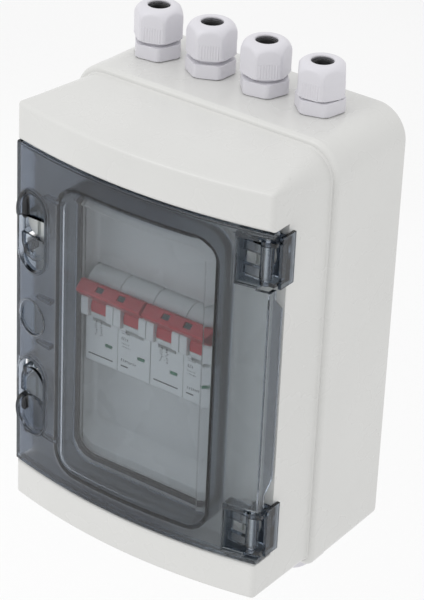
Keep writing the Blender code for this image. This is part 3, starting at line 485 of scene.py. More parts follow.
def add(obj, other):
    combine(obj, other, "UNION")


def cut(obj, other):
    combine(obj, other, "DIFFERENCE")


def keep(obj, other):
    combine(obj, other, "INTERSECT")
    return obj


def soften(obj, bevel, angle, clamp=False):
    """Rounds the edges that turn by more than angle degrees."""
    edge = obj.modifiers.new("edge", "BEVEL")
    edge.width = bevel * MM
    edge.segments = 2
    edge.limit_method = "ANGLE"
    edge.angle_limit = radians(angle)
    edge.use_clamp_overlap = clamp
    return edge


def show(obj, name, look, body, nodes=(), bevel=0.0, angle=35.0):
    """Names a finished piece, cleans its mesh, softens its edges and hangs it on its body."""
    obj.name = name
    mesh = obj.data
    mesh.name = name
    mesh.materials.clear()
    mesh.materials.append(paints[look])
    clean(mesh, straighten=True)
    mesh.shade_smooth()
    if bevel:
        soften(obj, bevel, angle).miter_outer = "MITER_ARC"
    else:
        mesh.set_sharp_from_angle(angle=radians(angle))
    normals = obj.modifiers.new("normals", "WEIGHTED_NORMAL")
    normals.keep_sharp = True
    normals.weight = 60
    if nodes:
        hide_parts(*nodes)
    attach(obj, body)


def box(x0, x1, y0, y1, z0, z1):
    points = [(x, y, z) for x in (x0, x1) for y in (y0, y1) for z in (z0, z1)]
    faces = [(0, 1, 3, 2), (4, 6, 7, 5), (0, 4, 5, 1), (2, 3, 7, 6), (0, 2, 6, 4), (1, 5, 7, 3)]
    return solid("box", points, faces)


def side_faces(count, levels, looped=False):
    """The faces between rings of count points each."""
    faces = []
    for k in range(levels - (not looped)):
        low, high = k * count, (k + 1) % levels * count
        for i in range(count):
            j = (i + 1) % count
            faces.append((low + i, low + j, high + j, high + i))
    return faces


def loft(rings, looped=False):
    """A solid through rings of equally many points: capped at both ends, or joined end to end."""
    count, levels = len(rings[0]), len(rings)
    faces = side_faces(count, levels, looped)
    if not looped:
        faces += [tuple(range(count)), tuple(range((levels - 1) * count, levels * count))]
    return solid("loft", [p for ring in rings for p in ring], faces)


def prism_x(section, x0, x1):
    return loft([[(x, y, z) for y, z in section] for x in (x0, x1)])


def upright(y, outline):
    """A ring of (x, z) pairs at depth y."""
    return [(x, y, z) for x, z in outline]


def prism_y(outline, y0, y1):
    return loft([upright(y0, outline), upright(y1, outline)])


def circle(x, z, radius, steps):
    turns = [2 * pi * k / steps for k in range(steps)]
    return [(x + radius * cos(a), z + radius * sin(a)) for a in turns]


def rod_y(x, z, radius, y0, y1, steps):
    return prism_y(circle(x, z, radius, steps), y0, y1)


def rod_z(x, y, radius, z0, z1, steps):
    return loft([[(px, py, z) for px, py in circle(x, y, radius, steps)] for z in (z0, z1)])


def rod_x(y, z, radius, x0, x1, steps):
    return prism_x(circle(y, z, radius, steps), x0, x1)


def turned_y(x, z, profile):
    """A solid turned round a line along Y, from (radius, y) pairs."""
    return loft([[(px, y, pz) for px, pz in circle(x, z, radius, 48)] for radius, y in profile])


def rounded(half_w, half_h, radius, corner=10, across=1, low_radius=None, least=0.3):
    """Closed (x, z) outline. With one radius, point i and its mirror -1 - i share one x."""

    def half(r):
        r = max(r, least)
        points = []
        for k in range(corner + 1):
            a = pi - pi / 2 * k / corner
            points.append((-half_w + r + r * cos(a), half_h - r + r * sin(a)))
        for k in range(1, across):
            points.append(((half_w - r) * (2 * k / across - 1), half_h))
        for k in range(corner + 1):
            a = pi / 2 - pi / 2 * k / corner
            points.append((half_w - r + r * cos(a), half_h - r + r * sin(a)))
        return points

    low = half(radius if low_radius is None else low_radius)
    return half(radius) + [(x, -z) for x, z in reversed(low)]


def obround(x, z0, z1, radius):
    """Closed (x, z) outline of a slot standing on its end."""
    steps = 20
    top = [pi * k / steps for k in range(steps + 1)]
    points = [(x + radius * cos(a), z1 + radius * sin(a)) for a in top]
    return points + [(x - radius * cos(a), z0 - radius * sin(a)) for a in top]


def front_y(x, inwards=0.0):
    """Y of the bowed front surface above x."""
    return CORNER_Y - FRONT_BOW * (1 - (x / HALF_FRONT) ** 2) + inwards


def stations(x0, x1, steps):
    return [x0 + (x1 - x0) * k / steps for k in range(steps + 1)]


def sweep_x(xs, section):
    """A solid whose (y, z) section at each x is section(x)."""
    return loft([[(x, y, z) for y, z in section(x)] for x in xs])


def bowed_slab(x0, x1, z0, z1, inwards, thickness, steps=30):
    """A plate that follows the front surface, its outer face lying inwards of it."""

    def section(x):
        outer = front_y(x, inwards)
        inner = outer + thickness
        return [(outer, z0), (outer, z1), (inner, z1), (inner, z0)]

    return sweep_x(stations(x0, x1, steps), section)


def on_side(side, a, b, centre=0.0):
    """The places a and b, measured from centre towards side (1 or -1), the lower one first."""
    return sorted((centre + side * a, centre + side * b))


def bead(outline, land, rise):
    """A rounded rib on the door's bowed front. outline(inset) gives its (x, z) path."""
    root, steps = 0.9, 8
    rings = [[(x, front_y(x, root), z) for x, z in outline(0.0)]]
    for k in range(steps + 1):
        a = pi * k / steps
        inset = land / 2 * (1 - cos(a))
        lift = rise * sin(a) ** 0.7 if 0 < k < steps else 0.0
        rings.append([(x, front_y(x, -lift), z) for x, z in outline(inset)])
    rings.append([(x, front_y(x, root), z) for x, z in outline(land)])
    return loft(rings, looped=True)


def quarter(radius, steps):
    """(inset, drop) pairs round a quarter circle, from the side to the face."""
    turns = [pi / 2 * k / steps for k in range(steps + 1)]
    return [(radius * (1 - cos(a)), radius * (1 - sin(a))) for a in turns]


# --- Case ---


def draft(y):
    """How much the base has narrowed at depth y."""
    return BASE_BACK_SCALE + (1 - BASE_BACK_SCALE) * y / JOINT_Y


def case_ring(y, inset, scale=1.0):
    """The base's outline at depth y, inset from its side."""
    half_w, half_h = BOX_W / 2 * scale - inset, BOX_H / 2 * scale - inset
    outline = rounded(half_w, half_h, BASE_CORNER_R - inset, 16, low_radius=BASE_LOW_CORNER_R - inset)
    return upright(y, outline)


def build_base():
    back_round, back = 1.2, BASE_BACK_SCALE
    rings = [case_ring(-drop, inset + BAND_STEP, back) for inset, drop in reversed(quarter(back_round, 5))]
    rings += [case_ring(y, BAND_STEP, draft(y)) for y in (JOINT_Y / 2, JOINT_Y + BAND_DEPTH + 0.5)]
    rings.append(case_ring(JOINT_Y + BAND_DEPTH, 0.0, draft(JOINT_Y + BAND_DEPTH)))
    rings += [case_ring(JOINT_Y + drop, inset) for inset, drop in quarter(RIM_ROUND, 8)]
    inner = ((0.0, GROOVE_OUT), (GROOVE_DEPTH, GROOVE_OUT), (GROOVE_DEPTH, GROOVE_IN), (0.0, GROOVE_IN))
    inner += ((0.0, RIM_INNER), (5.0, RIM_INNER), (8.5, BASE_WALL))
    rings += [case_ring(JOINT_Y + deep, inset) for deep, inset in inner]
    rings += [case_ring(-6.0, BASE_WALL, back), case_ring(-3.0, BASE_WALL + 3.0, back)]
    base = loft(rings)
    for _, x, z, _ in COVER_SCREWS:
        add(base, rod_y(x, z, SCREW_POST_R, -2.0, JOINT_Y, 32))
    for side in (-1, 1):
        add(base, rod_y(side * RAIL_SCREW_X, RAIL_Z, RAIL_POST_R, -2.0, RAIL_FRONT_Y + 7.5 + GAP, 32))
    for _, x, z, _ in COVER_SCREWS:
        cut(base, rod_y(x, z, SCREW_R + GAP, JOINT_Y - 1.0, JOINT_Y + 32.0, 24))
    for side in (-1, 1):
        cut(base, rod_y(side * RAIL_SCREW_X, RAIL_Z, 2.0 + GAP, RAIL_FRONT_Y, -7.0, 24))
        for end in (-1, 1):
            cut(base, rod_y(side * WALL_HOLE_X, end * WALL_HOLE_Z, WALL_HOLE_R, -5.0, 2.0, 32))
    for name, sign, *_ in GLANDS:
        x, y = middle(name + "_body", 0), middle(name + "_body", 1)
        z0, z1 = on_side(sign, BOX_H / 2 - 10.0, BOX_H / 2 + 5.0)
        cut(base, rod_z(x, y, THREAD_R + 2 * GAP, z0, z1, 48))
    for x, z in MOULD_MARKS:
        cut(base, rod_y(x, z, 3.0, -0.15, 1.0, 32))
    show(base, "base_case", "abs_white", "enclosure", ["base"], bevel=0.25, angle=40.0)


def cover_shell():
    """The outside of the cover as one solid, from the joint to the bowed front."""
    steps, corner = 48, 10

    def ring(share, inset, back):
        half_w = (COVER_JOINT_W + (COVER_FRONT_W - COVER_JOINT_W) * share) / 2 - inset
        half_h = (COVER_JOINT_H + (COVER_FRONT_H - COVER_JOINT_H) * share) / 2 - inset
        shrink = max(inset, 0.0) / COVER_EDGE_R * COVER_FRONT_R
        radius = COVER_JOINT_R + (COVER_FRONT_R - COVER_JOINT_R) * share - shrink
        low_radius = COVER_LOW_JOINT_R + (COVER_FRONT_R - COVER_LOW_JOINT_R) * share - shrink
        outline = rounded(half_w, half_h, radius, corner, steps, low_radius, least=0.0001)
        return [(x, JOINT_Y + (front_y(x) - JOINT_Y) * share + back, z) for x, z in outline]

    flare = ((0.5, 0.4), (0.42, -0.1), (0.22, -0.38), (0.06, -0.7), (0.0, -1.0))
    rings = [ring(0.0, -outwards, back) for outwards, back in flare]
    rings += [ring(share, 0.0, 0.0) for share in (0.35, 0.7)]
    rings += [ring(1.0, inset, drop) for inset, drop in quarter(COVER_EDGE_R, 7)]
    count = len(rings[0])
    last = (len(rings) - 1) * count
    faces = [tuple(range(count))] + side_faces(count, len(rings))
    for i in range(count // 2 - 1):
        faces.append((last + i, last + i + 1, last + count - 2 - i, last + count - 1 - i))
    cover = solid("cover", [p for r in rings for p in r], faces)
    clean(cover.data, straighten=False)
    return cover


def doorway_cutter():
    """What the door takes up: everything in front of the deck, with a rounded lip above and below."""

    def section(x):
        surface = front_y(x)
        side = [(DECK_Y, DOORWAY_HALF_H)]
        for inset, drop in quarter(DOORWAY_LIP, 7):
            side.append((surface + drop, DOORWAY_HALF_H + inset))
        side.append((surface - 6.0, DOORWAY_HALF_H + DOORWAY_LIP))
        return side + [(y, -z) for y, z in reversed(side)]

    return sweep_x(stations(-HALF_FRONT - 2, HALF_FRONT + 2, 52), section)


def seat_ring(half_w, half_h, radius, land, y0, y1):
    rings = []
    for y, inset in ((y0, 0.0), (y0, land), (y1, land), (y1, 0.0)):
        rings.append(upright(y, rounded(half_w - inset, half_h - inset, radius - inset)))
    return loft(rings, looped=True)


def well_cutter():
    """The sunk tray behind the window, its walls rounded into its floor."""
    fillet = 2.5

    def ring(y, share, inset):
        half_w = WELL_HALF_W + 0.3 - 0.7 * share - inset
        half_h = WELL_TOP_HALF_H + 2.4 + (WELL_FLOOR_HALF_H - WELL_TOP_HALF_H - 2.4) * share - inset
        return upright(y, rounded(half_w, half_h, 9.0 - 2.0 * share - inset))

    rings = [ring(SEAT_Y - 3.0, 0.0, 0.0)]
    depth = WELL_FLOOR_Y - SEAT_Y + 3.0
    for inset, drop in quarter(fillet, 5):
        y = WELL_FLOOR_Y - drop
        rings.append(ring(y, (y - SEAT_Y + 3.0) / depth, inset))
    return loft(rings)


def build_cover():
    cover = cover_shell()
    inner_w, inner_h = COVER_JOINT_W / 2 - COVER_WALL, COVER_JOINT_H / 2 - COVER_WALL
    back = DECK_Y + DECK_T
    inner_r, low_r = COVER_JOINT_R - COVER_WALL, COVER_LOW_JOINT_R - COVER_WALL
    cut(cover, loft([
        upright(JOINT_Y + 2.0, rounded(inner_w, inner_h, inner_r, low_radius=low_r)),
        upright(back, rounded(inner_w, inner_h - 1.4, 3.0)),
    ]))
    for side in (-1, 1):
        near, far = side * (DOORWAY_HALF_H + COVER_WALL), side * (COVER_FRONT_H / 2 - COVER_WALL)

        def hollow(x, near=near, far=far):
            surface = front_y(x, COVER_WALL)
            return [(back + 0.5, near), (surface, near), (surface, far), (back + 0.5, far)]

        cut(cover, sweep_x(stations(-inner_w, inner_w, 24), hollow))
    cut(cover, doorway_cutter())
    add(cover, loft([
        upright(DECK_Y + 0.6, rounded(WELL_HALF_W + 2, WELL_TOP_HALF_H + 2, 10.0)),
        upright(WELL_FLOOR_Y + WELL_T, rounded(WELL_HALF_W + 1.6, WELL_FLOOR_HALF_H + 2, 8.0)),
    ]))
    add(cover, seat_ring(SEAT_HALF_W, SEAT_HALF_H, SEAT_R, SEAT_LAND, DECK_Y + 0.5, SEAT_Y))
    for _, x, z, head_y in COVER_SCREWS:
        add(cover, rod_y(x, z, SCREW_POST_R, back - 0.5, JOINT_Y - GAP, 32))
        add(cover, rod_y(x, z, SCREW_HEAD_R + COLLAR_T, DECK_Y + 0.5, head_y + 2.0, 48))
    for _, side, inner, *_ in LATCHES:
        z0, z1 = on_side(side, inner - 4.5, inner + 1.3)
        add(cover, box(CATCH_X0, CATCH_X1, CATCH_FRONT_Y, DECK_Y + 0.5, z0, z1))
        lip_back = CATCH_FRONT_Y + CATCH_LIP_T
        add(cover, box(CATCH_X1 - 0.3, CATCH_LIP_X, CATCH_FRONT_Y, lip_back, z0, z1))
    cut(cover, well_cutter())
    slot_low, slot_high = RAIL_Z - NOSE_HALF - 0.5, RAIL_Z + NOSE_HALF + 0.5
    cut(cover, box(-2 * MODULE - 0.5, 2 * MODULE + 0.5, -84.0, -70.0, slot_low, slot_high))
    for _, x, z, head_y in COVER_SCREWS:
        cut(cover, rod_y(x, z, SCREW_R + GAP, head_y - 4.0, JOINT_Y + 2.0, 24))
        cut(cover, rod_y(x, z, SCREW_HEAD_R + GAP, head_y - 2.0, head_y + SCREW_HEAD_T + GAP, 48))
    show(cover, "cover_case", "abs_white", "enclosure", ["front_cover"], bevel=0.25, angle=40.0)


def build_cover_gasket():
    """A flat rubber cord in the base's groove, its front face slightly rounded."""
    front, back = JOINT_Y + 0.5, JOINT_Y + GROOVE_DEPTH - 0.05
    near, far, edge = GROOVE_OUT + 0.1, GROOVE_IN - 0.1, 0.5
    section = ((back, near), (front + edge, near), (front, near + edge))
    section += ((front, far - edge), (front + edge, far), (back, far))
    gasket = loft([case_ring(y, inset) for y, inset in section], looped=True)
    show(gasket, "cover_gasket_cord", "black_rubber", "enclosure", ["cover_gasket"], angle=50.0)


def build_cover_screws():
    for name, x, z, head_y in COVER_SCREWS:
        edge = 0.7
        profile = [(SCREW_HEAD_R - inset, head_y + drop) for inset, drop in reversed(quarter(edge, 4))]
        profile += [(SCREW_HEAD_R, head_y + SCREW_HEAD_T - 0.2), (SCREW_HEAD_R - 0.2, head_y + SCREW_HEAD_T)]
        screw = turned_y(x, z, profile)
        add(screw, rod_y(x, z, SCREW_R, head_y + SCREW_HEAD_T - 0.5, JOINT_Y + 28.0, 24))
        x0, x1 = x - SCREW_SLOT_HALF_W, x + SCREW_SLOT_HALF_W
        cut(screw, box(x0, x1, head_y - 1.0, head_y + SCREW_SLOT_DEPTH, z - 8.0, z + 8.0))
        show(screw, name + "_visual", "screw_plastic", name, [name], bevel=0.15)


# --- Door ---


def door_section(x):
    surface = front_y(x)
    half = [(surface + DOOR_RETURN, DOOR_HALF_H - DOOR_RETURN_T), (surface + DOOR_RETURN, DOOR_HALF_H)]
    half += [(surface + drop, DOOR_HALF_H - inset) for inset, drop in quarter(0.9, 4)]
    inner_z = DOOR_HALF_H - DOOR_RETURN_T
    inner = [(surface + DOOR_T, -inner_z), (surface + DOOR_T, inner_z)]
    return half + [(y, -z) for y, z in reversed(half)] + inner


def skirt_ring():
    rings = []
    for near, inset in ((True, 0.0), (True, SKIRT_T), (False, SKIRT_T), (False, 0.0)):
        outline = rounded(SKIRT_HALF_W - inset, SKIRT_HALF_H - inset, SKIRT_R - inset, 10, 24)
        ring = []
        for x, z in outline:
            x, z = x + WINDOW_X, z + WINDOW_Z
            ring.append((x, front_y(x, DOOR_T - 0.6) if near else SKIRT_END_Y, z))
        rings.append(ring)
    return loft(rings, looped=True)


def ridge_outline(inset):
    outline = rounded(RIDGE_HALF_W - inset, RIDGE_HALF_H - inset, SKIRT_R + 0.2 - inset, 12, 28)
    return [(x + WINDOW_X, z + WINDOW_Z) for x, z in outline]


def latch_scoop(side, outer, start):
    """The finger hollow that fills the outer end of a latch pocket, from z = start outwards."""
    centre_z = side * (outer - 1.5)

    def dome(width, depth, height):
        rings = []
        for k in range(1, 16):
            a = pi * k / 16
            rings.append([
                (
                    LATCH_X + width * sin(a) * cos(b),
                    front_y(LATCH_X) + depth * sin(a) * sin(b),
                    centre_z - height * cos(a),
                )
                for b in (pi * 2 * m / 36 for m in range(36))
            ])
        return loft(rings)

    scoop = dome(9.4, 5.6, 11.4)
    cut(scoop, dome(7.6, 4.0, 9.6))
    low, high = on_side(side, start, outer + 12)
    return keep(scoop, box(-67.0, -40.0, front_y(LATCH_X) + 0.3, -85.0, low, high))


def add_hinge_pocket(door, z):
    """A pocket at the door's right edge, open to the side, with a barrel for the hinge pin."""
    left, wall, half = 52.2, 1.6, ARM_OUT + 0.4
    pocket = box(left - wall, HALF_FRONT - 6.0, -104.0, -91.5, z - half - wall, z + half + wall)
    keep(pocket, bowed_slab(left - 5, HALF_FRONT, z - 15, z + 15, -0.6, 9.0, 8))
    add(door, pocket)
    cut(door, box(left, HALF_FRONT + 3.0, -108.0, -80.0, z - half, z + half))
    low, high = z - PLATE_HALF - 0.5, z + PLATE_HALF + 0.5
    cut(door, box(HALF_FRONT - 6.0, HALF_FRONT + 3.0, -108.0, -80.0, low, high))
    for side in (-1, 1):
        z0, z1 = on_side(side, 3.2, BARREL_HALF, z)
        add(door, box(left - 0.8, HINGE_X - 1.0, HINGE_Y - 2.2, HINGE_Y + 0.2, z0, z1))
    add(door, rod_z(HINGE_X, HINGE_Y, BARREL_R, z - BARREL_HALF, z + BARREL_HALF, 40))
    cut(door, rod_z(HINGE_X, HINGE_Y, PIN_R + GAP, z - BARREL_HALF - 2, z + BARREL_HALF + 2, 24))


def build_door():
    door = sweep_x(stations(-HALF_FRONT, HALF_FRONT, 56), door_section)
    inner_x = HALF_FRONT - DOOR_RETURN_T
    for side in (-1, 1):
        x0, x1 = on_side(side, inner_x, HALF_FRONT)
        add(door, bowed_slab(x0, x1, -DOOR_HALF_H + 0.9, DOOR_HALF_H - 0.9, 0.2, DOOR_RETURN - 0.2, 2))
    flange = [(CORNER_Y + 1.5, FLANGE_TOP), (CORNER_Y + DOOR_RETURN, FLANGE_TOP)]
    flange += [(FLANGE_END_Y, FLANGE_TOP - FLANGE_SLANT), (FLANGE_END_Y, FLANGE_BOTTOM + FLANGE_SLANT)]
    flange += [(CORNER_Y + DOOR_RETURN, FLANGE_BOTTOM), (CORNER_Y + 1.5, FLANGE_BOTTOM)]
    add(door, prism_x(flange, inner_x, HALF_FRONT))
    for z0, z1 in LEFT_WALLS:
        add(door, box(-HALF_FRONT, -inner_x, CORNER_Y + DOOR_RETURN - 1.0, LEFT_WALL_END_Y, z0, z1))
    for _, x, z, _ in COVER_SCREWS:
        if x < 0:
            cut(door, rod_y(x, z, SCREW_HEAD_R + COLLAR_T + COLLAR_ROOM, -92.5, DECK_Y, 48))
    add(door, skirt_ring())
    add(door, bead(ridge_outline, RIDGE_LAND, RIDGE_RISE))
    for x, z in RIBS:
        front, back = front_y(x) - 0.3, front_y(x) + RIB_DEPTH
        add(door, box(x, x + RIB_LENGTH, front, back, z - RIB_HALF_T, z + RIB_HALF_T))
    for _, side, inner, outer, _, hollow in LATCHES:
        z0, z1 = on_side(side, inner, outer)
        rim = prism_y(obround(LATCH_X, z0, z1, LATCH_R + POCKET_RIM), -91.0, -108.0)
        keep(rim, bowed_slab(-67.0, -40, -75, 75, 0.4, 3.1, 16))
        add(door, rim)
        add(door, bead(lambda i, z0=z0, z1=z1: obround(LATCH_X, z0, z1, LATCH_R + POCKET_RIM - i), 1.6, 0.5))
        cut(door, prism_y(obround(LATCH_X, z0, z1, LATCH_R), -85.0, -110.0))
        add(door, latch_scoop(side, outer, hollow))
    add(door, bead(lambda i: circle(LATCH_X, LOCK_Z, LOCK_R + LOCK_RIM - i, 56), 1.2, 0.35))
    cut(door, rod_y(LATCH_X, LOCK_Z, LOCK_R, -90.0, -110.0, 56))
    for _, z in HINGES:
        add_hinge_pocket(door, z)
    show(door, "door_panel", "door_smoke", "door", ["door"], bevel=0.22, angle=38.0)


def build_latches():
    for name, side, inner, _, end, _ in LATCHES:
        z0, z1 = on_side(side, inner + 4.5, 50.0)
        tab = prism_y(obround(LATCH_X, z0, z1, LATCH_R - 0.5), -92.0, -108.0)
        keep(tab, bowed_slab(-66.5, -45.0, -70, 70, 0.8, 1.7, 20))
        low, high = on_side(side, end, 70)
        cut(tab, box(-70.0, -45.0, -110.0, -80.0, low, high))
        low, high = on_side(side, inner + 5.0, end + 6.0)
        hollow = prism_y(obround(LATCH_X, low, high, LATCH_R - 2.4), -90.0, -112.0)
        cut(tab, keep(hollow, bowed_slab(-70.0, -45.0, -70, 70, -3.0, 4.6, 20)))
        z0, z1 = on_side(side, inner - 2.5, inner + 2.0)
        add(tab, box(-63.6, -61.9, -96.8, -87.4, z0, z1))
        add(tab, box(-64.6, -63.0, -88.9, -87.4, z0, z1))
        node = "latch_" + name
        show(tab, node + "_tab", "smoked_polycarbonate", node, [node], bevel=0.2)


def build_latch_slit_shadows():
    """A black bar in the slot beside each finger hollow: painted shadow standing in for the dark inside of
    the slot.
    """
    for name, z0, z1 in SLITS:
        slit_shadow = prism_y(obround(SLIT_X, z0 + SLIT_R, z1 - SLIT_R, SLIT_R), -85.0, -108.0)
        keep(slit_shadow, bowed_slab(-66.5, -56.0, -70, 70, 1.2, 2.2, 12))
        show(slit_shadow, f"latch_{name}_slit", "black_plastic", "door", bevel=0.2)


def build_lock_plug():
    outline = circle(LATCH_X, LOCK_Z, LOCK_R - GAP, 56)
    plug = prism_y(outline, -90.0, -108.0)
    keep(plug, bowed_slab(-66.8, -45.0, -20, 20, 0.2, 1.8, 20))
    dish = prism_y(circle(LATCH_X, LOCK_Z, LOCK_R - 1.7, 56), -90.0, -112.0)
    cut(plug, keep(dish, bowed_slab(-70.0, -45.0, -20, 20, -3.0, 3.5, 20)))
    show(plug, "lock_plug_disc", "smoked_polycarbonate", "door", ["lock_hole_plug"], bevel=0.15)


def build_hinges():
    for name, z in HINGES:
        plate_x = HALF_FRONT + 0.35
        clip = box(plate_x, plate_x + 1.6, -91.6, -82.2, z - PLATE_HALF, z + PLATE_HALF)
        for side in (-1, 1):
            z0, z1 = on_side(side, ARM_IN, ARM_OUT, z)
            add(clip, box(HINGE_X, plate_x + 0.5, -95.0, -88.0, z0, z1))
            add(clip, rod_z(HINGE_X, HINGE_Y, BARREL_R, z0, z1, 40))
        add(clip, box(59.0, plate_x + 0.5, -87.6, DECK_Y - GAP, z - 10.2, z + 10.2))
        cut(clip, rod_y(55.5, z, SCREW_HEAD_R + 2.2, -90.0, -80.0, 40))
        cut(clip, rod_z(HINGE_X, HINGE_Y, PIN_R + GAP, z - 15, z + 15, 24))
        node = "hinge_clip_" + name
        show(clip, node + "_visual", "smoked_polycarbonate", "enclosure", [node], bevel=0.2)
        pin = rod_z(HINGE_X, HINGE_Y, PIN_R, z - ARM_OUT - 0.6, z + ARM_OUT + 0.6, 24)
        node = "hinge_pin_" + name
        show(pin, node + "_visual", "zinc_steel", "enclosure", [node], bevel=0.25)


# --- Breakers ---


def breaker_section():
    top, nose, slot = BREAKER_HALF, NOSE_HALF, 17.9
    crown = []
    for k in range(9):
        a = pi / 2 * k / 8
        crown.append((-77.5 - 8.0 * sin(a), nose - 7.0 * (1 - cos(a))))
    section = [(BREAKER_BACK_Y, top), (SHOULDER_Y, top), (SHOULDER_Y, nose), *crown]
    section += [(NOSE_Y, -nose + 0.8), (NOSE_Y + 0.8, -nose), (SHOULDER_Y, -nose), (SHOULDER_Y, -top)]
    section += [(BREAKER_BACK_Y, -top), (BREAKER_BACK_Y, -slot)]
    return section + [(RAIL_FRONT_Y - GAP, -slot), (RAIL_FRONT_Y - GAP, slot), (BREAKER_BACK_Y, slot)]


def poles(centre):
    """X of a breaker's left and right pole, each with its hand."""
    return [(centre + side * MODULE / 2, hand) for side, hand in HANDS]


def ear(x0, x1):
    """A rounded block beside a toggle slot."""
    low_r, high_r, front = 1.4, 2.4, NOSE_Y - EAR_RISE
    section = [(NOSE_Y + 1.0, EAR_LOW)]
    for inset, drop in quarter(low_r, 4):
        section.append((front + drop, EAR_LOW + inset))
    for inset, drop in reversed(quarter(high_r, 5)):
        section.append((front + drop, EAR_HIGH - inset))
    section.append((NOSE_Y + 1.0, EAR_HIGH))
    return prism_x(section, x0, x1)


def build_breaker(number):
    name = f"breaker_{number}"
    centre = middle(name, 0)
    half = MODULE - 0.2
    case = prism_x([(y, z + RAIL_Z) for y, z in breaker_section()], centre - half, centre + half)
    hook_y = RAIL_FRONT_Y + RAIL_T + GAP
    add(case, box(centre - half, centre + half, hook_y, BREAKER_BACK_Y + 1.0, RAIL_Z + 14.2, RAIL_Z + 18.4))
    for pole, _ in poles(centre):
        for edge in (-1, 1):
            x0, x1 = on_side(edge, TOGGLE_SLOT_HALF_W, EAR_OUT, pole)
            add(case, ear(x0, x1))
    for pole, _ in poles(centre):
        x0, x1 = pole - TOGGLE_SLOT_HALF_W, pole + TOGGLE_SLOT_HALF_W
        z0, z1 = TOGGLE_Z - 8.0, TOGGLE_Z + 9.0
        cut(case, box(x0, x1, -96.0, TOGGLE_Y + 1.0, z0, z1))
        cut(case, rod_x(TOGGLE_Y, TOGGLE_Z, TOGGLE_R + 0.6, x0, x1, 40))
        for end in (1, -1):
            z = RAIL_Z + end * TERMINAL_Z
            cut(case, rod_y(pole, z, TERMINAL_R, SHOULDER_Y - 2.0, SHOULDER_Y + 6.0, 32))
            z0, z1 = on_side(end, BREAKER_HALF - 8.0, BREAKER_HALF + 2, RAIL_Z)
            left, right = pole - CABLE_WELL_HALF_W, pole + CABLE_WELL_HALF_W
            cut(case, box(left, right, SHOULDER_Y + 13.0, SHOULDER_Y + 20.0, z0, z1))
        cut(case, box(pole + 1.8, pole + 5.9, NOSE_Y - 1.0, NOSE_Y + 0.6, -10.4, -8.7))
    seam = [(y + SEAM_DEPTH, z * SEAM_SHRINK + RAIL_Z) for y, z in breaker_section()[2:14]]
    seam[0] = (SHOULDER_Y + 1.0, seam[1][1])
    seam[-1] = (SHOULDER_Y + 1.0, seam[-2][1])
    low, high = RAIL_Z - NOSE_HALF - 1, RAIL_Z + NOSE_HALF + 1
    front, rear = NOSE_Y - EAR_RISE - 1.0, SHOULDER_Y - 0.6
    groove = box(centre - SEAM_HALF_W, centre + SEAM_HALF_W, front, rear, low, high)
    cut(groove, prism_x(seam, centre - 1.0, centre + 1.0))
    cut(case, groove)
    low = RAIL_Z - BREAKER_HALF - 2.0
    cut(case, box(centre - 6.4, centre + 6.4, -24.6, BREAKER_BACK_Y + 2, low, RAIL_Z - 17.0))
    show(case, name + "_case", "breaker_case", "enclosure", [name], bevel=0.15)
    build_toggle(name, centre)
    build_print(name, centre)


def tilt(points):
    """Turns (y, z) pairs about the toggle's axis into the frame."""
    c, s = cos(radians(-TOGGLE_UP)), sin(radians(-TOGGLE_UP))
    return [(TOGGLE_Y + y * c - z * s, TOGGLE_Z + y * s + z * c) for y, z in points]


def build_toggle(name, centre):
    bar = [(-17.4, -2.8), (-16.6, -3.7), (-12.4, -3.7), (-12.4, 3.3), (-16.0, 3.3), (-17.4, 2.2)]
    toggle = prism_x(tilt(bar), centre - MODULE + 0.6, centre + MODULE - 0.6)
    lever = [(-13.0, -3.2), (-3.0, -3.2), (-3.0, 1.6), (-13.0, 1.6)]
    for pole, _ in poles(centre):
        add(toggle, rod_x(TOGGLE_Y, TOGGLE_Z, TOGGLE_R, pole - TOGGLE_HALF_W, pole + TOGGLE_HALF_W, 48))
        add(toggle, prism_x(tilt(lever), pole - 4.1, pole + 4.1))
    pocket = [(-18.0, -1.4), (-16.2, -1.4), (-16.2, 1.3), (-18.0, 1.3)]
    pad = [(-16.8, -1.3), (-16.25, -1.3), (-16.25, 1.2), (-16.8, 1.2)]
    for side in (-1, 1):
        x = centre + side * TOGGLE_WINDOW_X
        cut(toggle, prism_x(tilt(pocket), x - TOGGLE_WINDOW_HALF_W, x + TOGGLE_WINDOW_HALF_W))
    node = name + "_toggle"
    show(toggle, node + "_bar", "toggle_red", node, [node], bevel=0.3, angle=30.0)
    arc = [radians(13.0 + 66.0 * k / 12) for k in range(13)]
    section = [(TOGGLE_Y - r * cos(a), TOGGLE_Z - r * sin(a)) for r, a in (
        [(APRON_R, a) for a in arc] + [(APRON_INNER_R, a) for a in reversed(arc)]
    )]
    for pole, hand in poles(centre):
        apron = prism_x(section, pole - TOGGLE_HALF_W, pole + TOGGLE_HALF_W)
        show(apron, f"{node}_apron_{hand}", "breaker_case", node, angle=40.0)
    for side, hand in HANDS:
        x, half = centre + side * TOGGLE_WINDOW_X, TOGGLE_WINDOW_HALF_W - 0.1
        window = prism_x(tilt(pad), x - half, x + half)
        show(window, f"{node}_window_{hand}", "black_plastic", node, bevel=0.1)


def strip(x0, x1, z0, z1, lift=0.05):
    return box(x0, x1, NOSE_Y - lift, NOSE_Y + 0.2, z0, z1)


